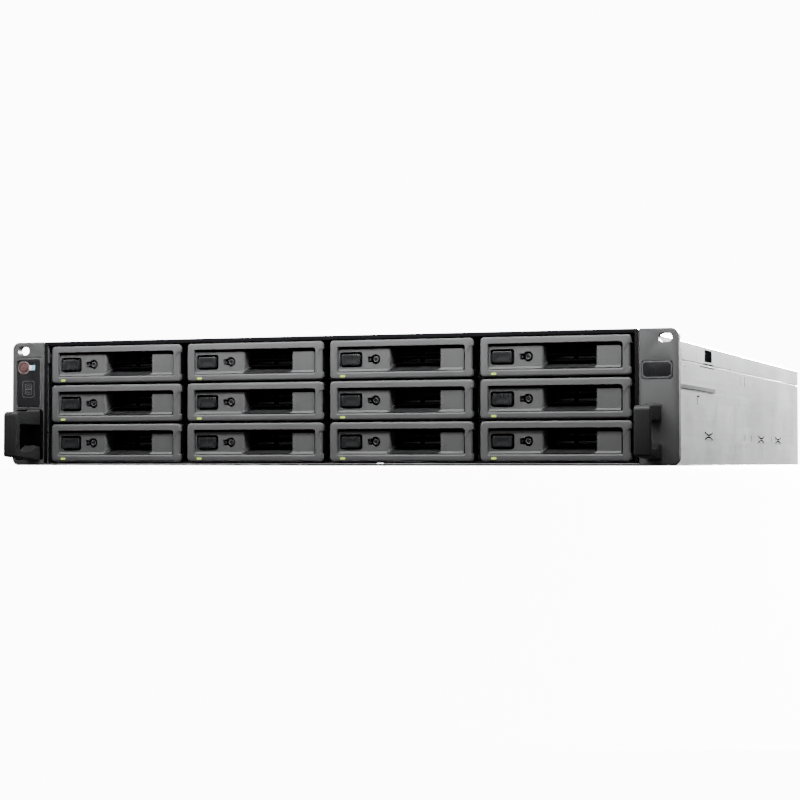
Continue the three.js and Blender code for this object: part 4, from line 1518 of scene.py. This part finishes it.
@dataclass
class PowerSupply:
    """Rear details of one power supply, about its lower rear centre."""

    number: int
    tab: float = 18.0
    guard_rings: tuple = (4.0, 7.4, 10.8, 14.2)
    guard_reach: float = 16.6
    lamp: tuple = (31.5, 36.0)
    fan: tuple = (-18.5, 20.0)
    inlet: tuple = (17.5, 20.0)

    def build(self) -> None:
        """Makes the fan guard, inlet with its pins, and status light."""
        node = f"power_supply_{self.number}"
        low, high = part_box(node)
        origin = ((low[0] + high[0]) / 2, high[1] - self.tab * MM, low[2])
        guard = Shell(origin)
        for radius in self.guard_rings:
            guard.hoop(radius, 0.55, self.fan, 0.9)
        for angle in range(4):
            reach = np.array([0.0, self.guard_reach])
            turn = math.radians(45 + 90 * angle)
            path = np.column_stack((self.fan[0] + reach * math.cos(turn), np.full(2, 0.5),
                                    self.fan[1] + reach * math.sin(turn)))
            section = circle((0, 0), 0.6, 8)
            across = np.array([-math.sin(turn), 0, math.cos(turn)])
            rings = (path[:, None, :] + section[None, :, :1] * across
                     + section[None, :, 1:] * np.array([0, 1, 0]))
            guard.loft(rings)
        guard.build(f"supply_guard_{self.number}", Finishes.screw, node)
        socket = Shell(origin)
        x, z = self.inlet
        hood = np.array([[x - 12, z - 8.4], [x + 12, z - 8.4], [x + 12, z + 4], [x + 7, z + 8.4],
                         [x - 7, z + 8.4],
                         [x - 12, z + 4]])
        socket.slab(rounded((x - 13.6, z - 10), (x + 13.6, z + 10), 1.5), 0.9, 0.1, 0.3, (hood,))
        socket.build(f"supply_inlet_{self.number}", Finishes.black, node)
        pins = Shell(origin)
        for dx, dz in ((-6.5, -1.5), (0.0, 2.5), (6.5, -1.5)):
            pins.box((x + dx - 1, -13.9, z + dz - 2), (x + dx + 1, -2, z + dz + 2), 0.3)
        pins.build(f"supply_pins_{self.number}", Finishes.screw, node)
        lamp = Shell(origin)
        lamp.turned([(0.01, 0.5), (0.9, 0.4), (1.2, 0.05)], self.lamp, Axis.Y, 16)
        lamp.build(f"supply_lamp_{self.number}", Finishes.lamp, node)


# ---- frame nodes that keep their shape -------------------------------------------------------

class KeptNodes:
    """Finishes of the CAD nodes whose own shape shows."""

    finishes = {
        "chassis": Finishes.steel, "front_cover": Finishes.steel, "top_cover": Finishes.steel,
        "drive_cage": Finishes.paint, "backplane": Finishes.board, "main_board": Finishes.board,
        "fan_wall": Finishes.fan, "heat_sink": Finishes.sink,
    }
    finishes |= {f"fan_rotor_{i}": Finishes.fan for i in (1, 2, 3)}
    finishes |= {f"supply_fan_{i}": Finishes.fan for i in (1, 2)}
    finishes |= {f"supply_latch_{i}": Finishes.latch for i in (1, 2)}
    finishes |= {f"power_supply_{i}": Finishes.supply for i in (1, 2)}

    def dress(self) -> None:
        """Puts each finish on its node."""
        for name, finish in self.finishes.items():
            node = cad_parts[name]
            material = Finishes.of(finish)
            for place in node.material_slots:
                place.material = material
            if not node.material_slots:
                node.data.materials.append(material)


# ---- studio ----------------------------------------------------------------------------------

@dataclass
class Softbox:
    """An area light aimed at a point, in metres."""

    name: str
    place: tuple
    target: tuple
    size: tuple
    power: float

    def build(self) -> None:
        """Makes the light, hidden from the camera."""
        data = bpy.data.lights.new(self.name, "AREA")
        data.shape = "RECTANGLE"
        data.size, data.size_y = self.size
        data.energy = self.power
        light = bpy.data.objects.new(self.name, data)
        light.location = self.place
        aim = Vector(self.target) - Vector(self.place)
        light.rotation_euler = aim.to_track_quat("-Z", "Y").to_euler()
        light.visible_camera = False
        bpy.context.scene.collection.objects.link(light)


@dataclass
class Studio:
    """Camera, floor, world and lights."""

    camera_place: tuple = (0.5177, -1.5915, 0.001)
    yaw: float = 19.96
    pitch: float = 1.787
    lens: float = 92.08
    backdrop: float = 12.0
    ambient_high: float = 0.32
    ambient_low: float = 0.05
    horizon: tuple = (-0.05, 0.35)
    floor_light: float = 38.0
    floor_reach: float = 30.0
    floor_drop: float = 0.0004
    lights: list = field(default_factory=lambda: [
        Softbox("strip_front", (0.0, -0.393, 0.18), (0.0, -0.33, 0.04), (0.56, 0.04), 1.5),
        Softbox("overhead", (0.0, 0.1, 1.3), (0.0, 0.1, 0.0), (1.4, 1.2), 6.0),
        Softbox("far_right", (0.38, 1.9, 0.78), (0.21, 0.25, 0.05), (0.42, 1.15), 28.0),
        Softbox("rear_right", (0.36, 1.0, 0.5), (0.21, 0.5, 0.05), (0.3, 0.3), 235.0),
        Softbox("left", (-1.7, 0.3, 0.8), (-0.2, 0.1, 0.04), (1.6, 1.2), 34.0),
        Softbox("rear", (-0.3, 2.0, 0.9), (0.0, 0.34, 0.04), (1.0, 0.8), 8.0),
        Softbox("front_fill", (0.3, -2.4, 0.9), (0.0, -0.3, 0.04), (1.2, 0.8), 1.0),
    ])

    def build_camera(self) -> None:
        """Places the camera at its angle and focal length."""
        data = bpy.data.cameras.new("camera")
        data.lens = self.lens
        data.sensor_width = 36.0
        data.clip_start = 0.01
        camera = bpy.data.objects.new("camera", data)
        camera.location = self.camera_place
        camera.rotation_euler = Euler((math.radians(90 + self.pitch), 0.0, math.radians(self.yaw)))
        bpy.context.scene.collection.objects.link(camera)
        bpy.context.scene.camera = camera

    def build_floor(self) -> None:
        """A wide pale floor just under the case."""
        mesh = bpy.data.meshes.new("floor")
        corners = [(-1, -1), (1, -1), (1, 1), (-1, 1)]
        points = [(x * self.floor_reach, y * self.floor_reach, -self.floor_drop)
                  for x, y in corners]
        mesh.from_pydata(points, [], [(0, 1, 2, 3)])
        floor = bpy.data.objects.new("floor", mesh)
        bpy.context.scene.collection.objects.link(floor)
        shader = Shader("pale_floor")
        shader.set("Base Color", shader.blend(shader.noise(400, 3), (0.93, 0.93, 0.93),
                                              (0.97, 0.97, 0.97)))
        shader.set("Roughness", 0.7)
        mesh.materials.append(shader.material)
        floor.visible_diffuse = False
        floor.visible_glossy = False
        self.build_floor_light(floor)

    def build_floor_light(self, floor: bpy.types.Object) -> None:
        """A soft overhead sun that is linked to the floor alone.

        Args:
            floor: the floor.
        """
        data = bpy.data.lights.new("floor_sun", "SUN")
        data.energy = self.floor_light
        data.angle = math.radians(60)
        light = bpy.data.objects.new("floor_sun", data)
        light.location = (0.0, 0.0, 2.0)
        bpy.context.scene.collection.objects.link(light)
        group = bpy.data.collections.new("floor_only")
        group.objects.link(floor)
        light.light_linking.receiver_collection = group

    def build_world(self) -> None:
        """A backdrop that is white to the camera and a dim light, darker below the horizon."""
        world = bpy.data.worlds.new("studio")
        bpy.context.scene.world = world
        world.use_nodes = True
        tree = world.node_tree
        tree.nodes.clear()
        path = tree.nodes.new("ShaderNodeLightPath")
        direction = tree.nodes.new("ShaderNodeTexCoord")
        split = tree.nodes.new("ShaderNodeSeparateXYZ")
        ramp = tree.nodes.new("ShaderNodeMapRange")
        stops = (*self.horizon, self.ambient_low, self.ambient_high)
        for socket, number in zip(list(ramp.inputs)[1:5], stops):
            socket.default_value = number
        pick = tree.nodes.new("ShaderNodeMix")
        pick.inputs["B"].default_value = self.backdrop
        sky = tree.nodes.new("ShaderNodeBackground")
        sky.inputs[0].default_value = (1.0, 1.0, 1.0, 1.0)
        output = tree.nodes.new("ShaderNodeOutputWorld")
        tree.links.new(direction.outputs["Generated"], split.inputs[0])
        tree.links.new(split.outputs[2], ramp.inputs[0])
        tree.links.new(path.outputs["Is Camera Ray"], pick.inputs[0])
        tree.links.new(ramp.outputs[0], pick.inputs["A"])
        tree.links.new(pick.outputs[0], sky.inputs[1])
        tree.links.new(sky.outputs[0], output.inputs[0])

    def build(self) -> None:
        """Makes the whole studio."""
        self.build_camera()
        self.build_floor()
        self.build_world()
        for light in self.lights:
            light.build()


def main() -> None:
    """Builds the studio, then every sub-assembly in turn."""
    logging.basicConfig(level=logging.INFO, format="%(name)s: %(message)s")
    Studio().build()
    KeptNodes().dress()
    for row in ROWS:
        for column in COLUMNS:
            tag = f"r{row}c{column}"
            for part in (TrayHandle(tag), TrayFace(tag), TrayButton(tag), TraySled(tag)):
                part.build()
    for side in (-1, 1):
        RackEar(side).build()
        FrontGrip(side).build()
    for part in (ControlPanel(), NamePlate(), FrontTrim(), CaseDetails(), RearPorts()):
        part.build()
    for number in (1, 2):
        PowerSupply(number).build()


if __name__ == "__main__":
    main()
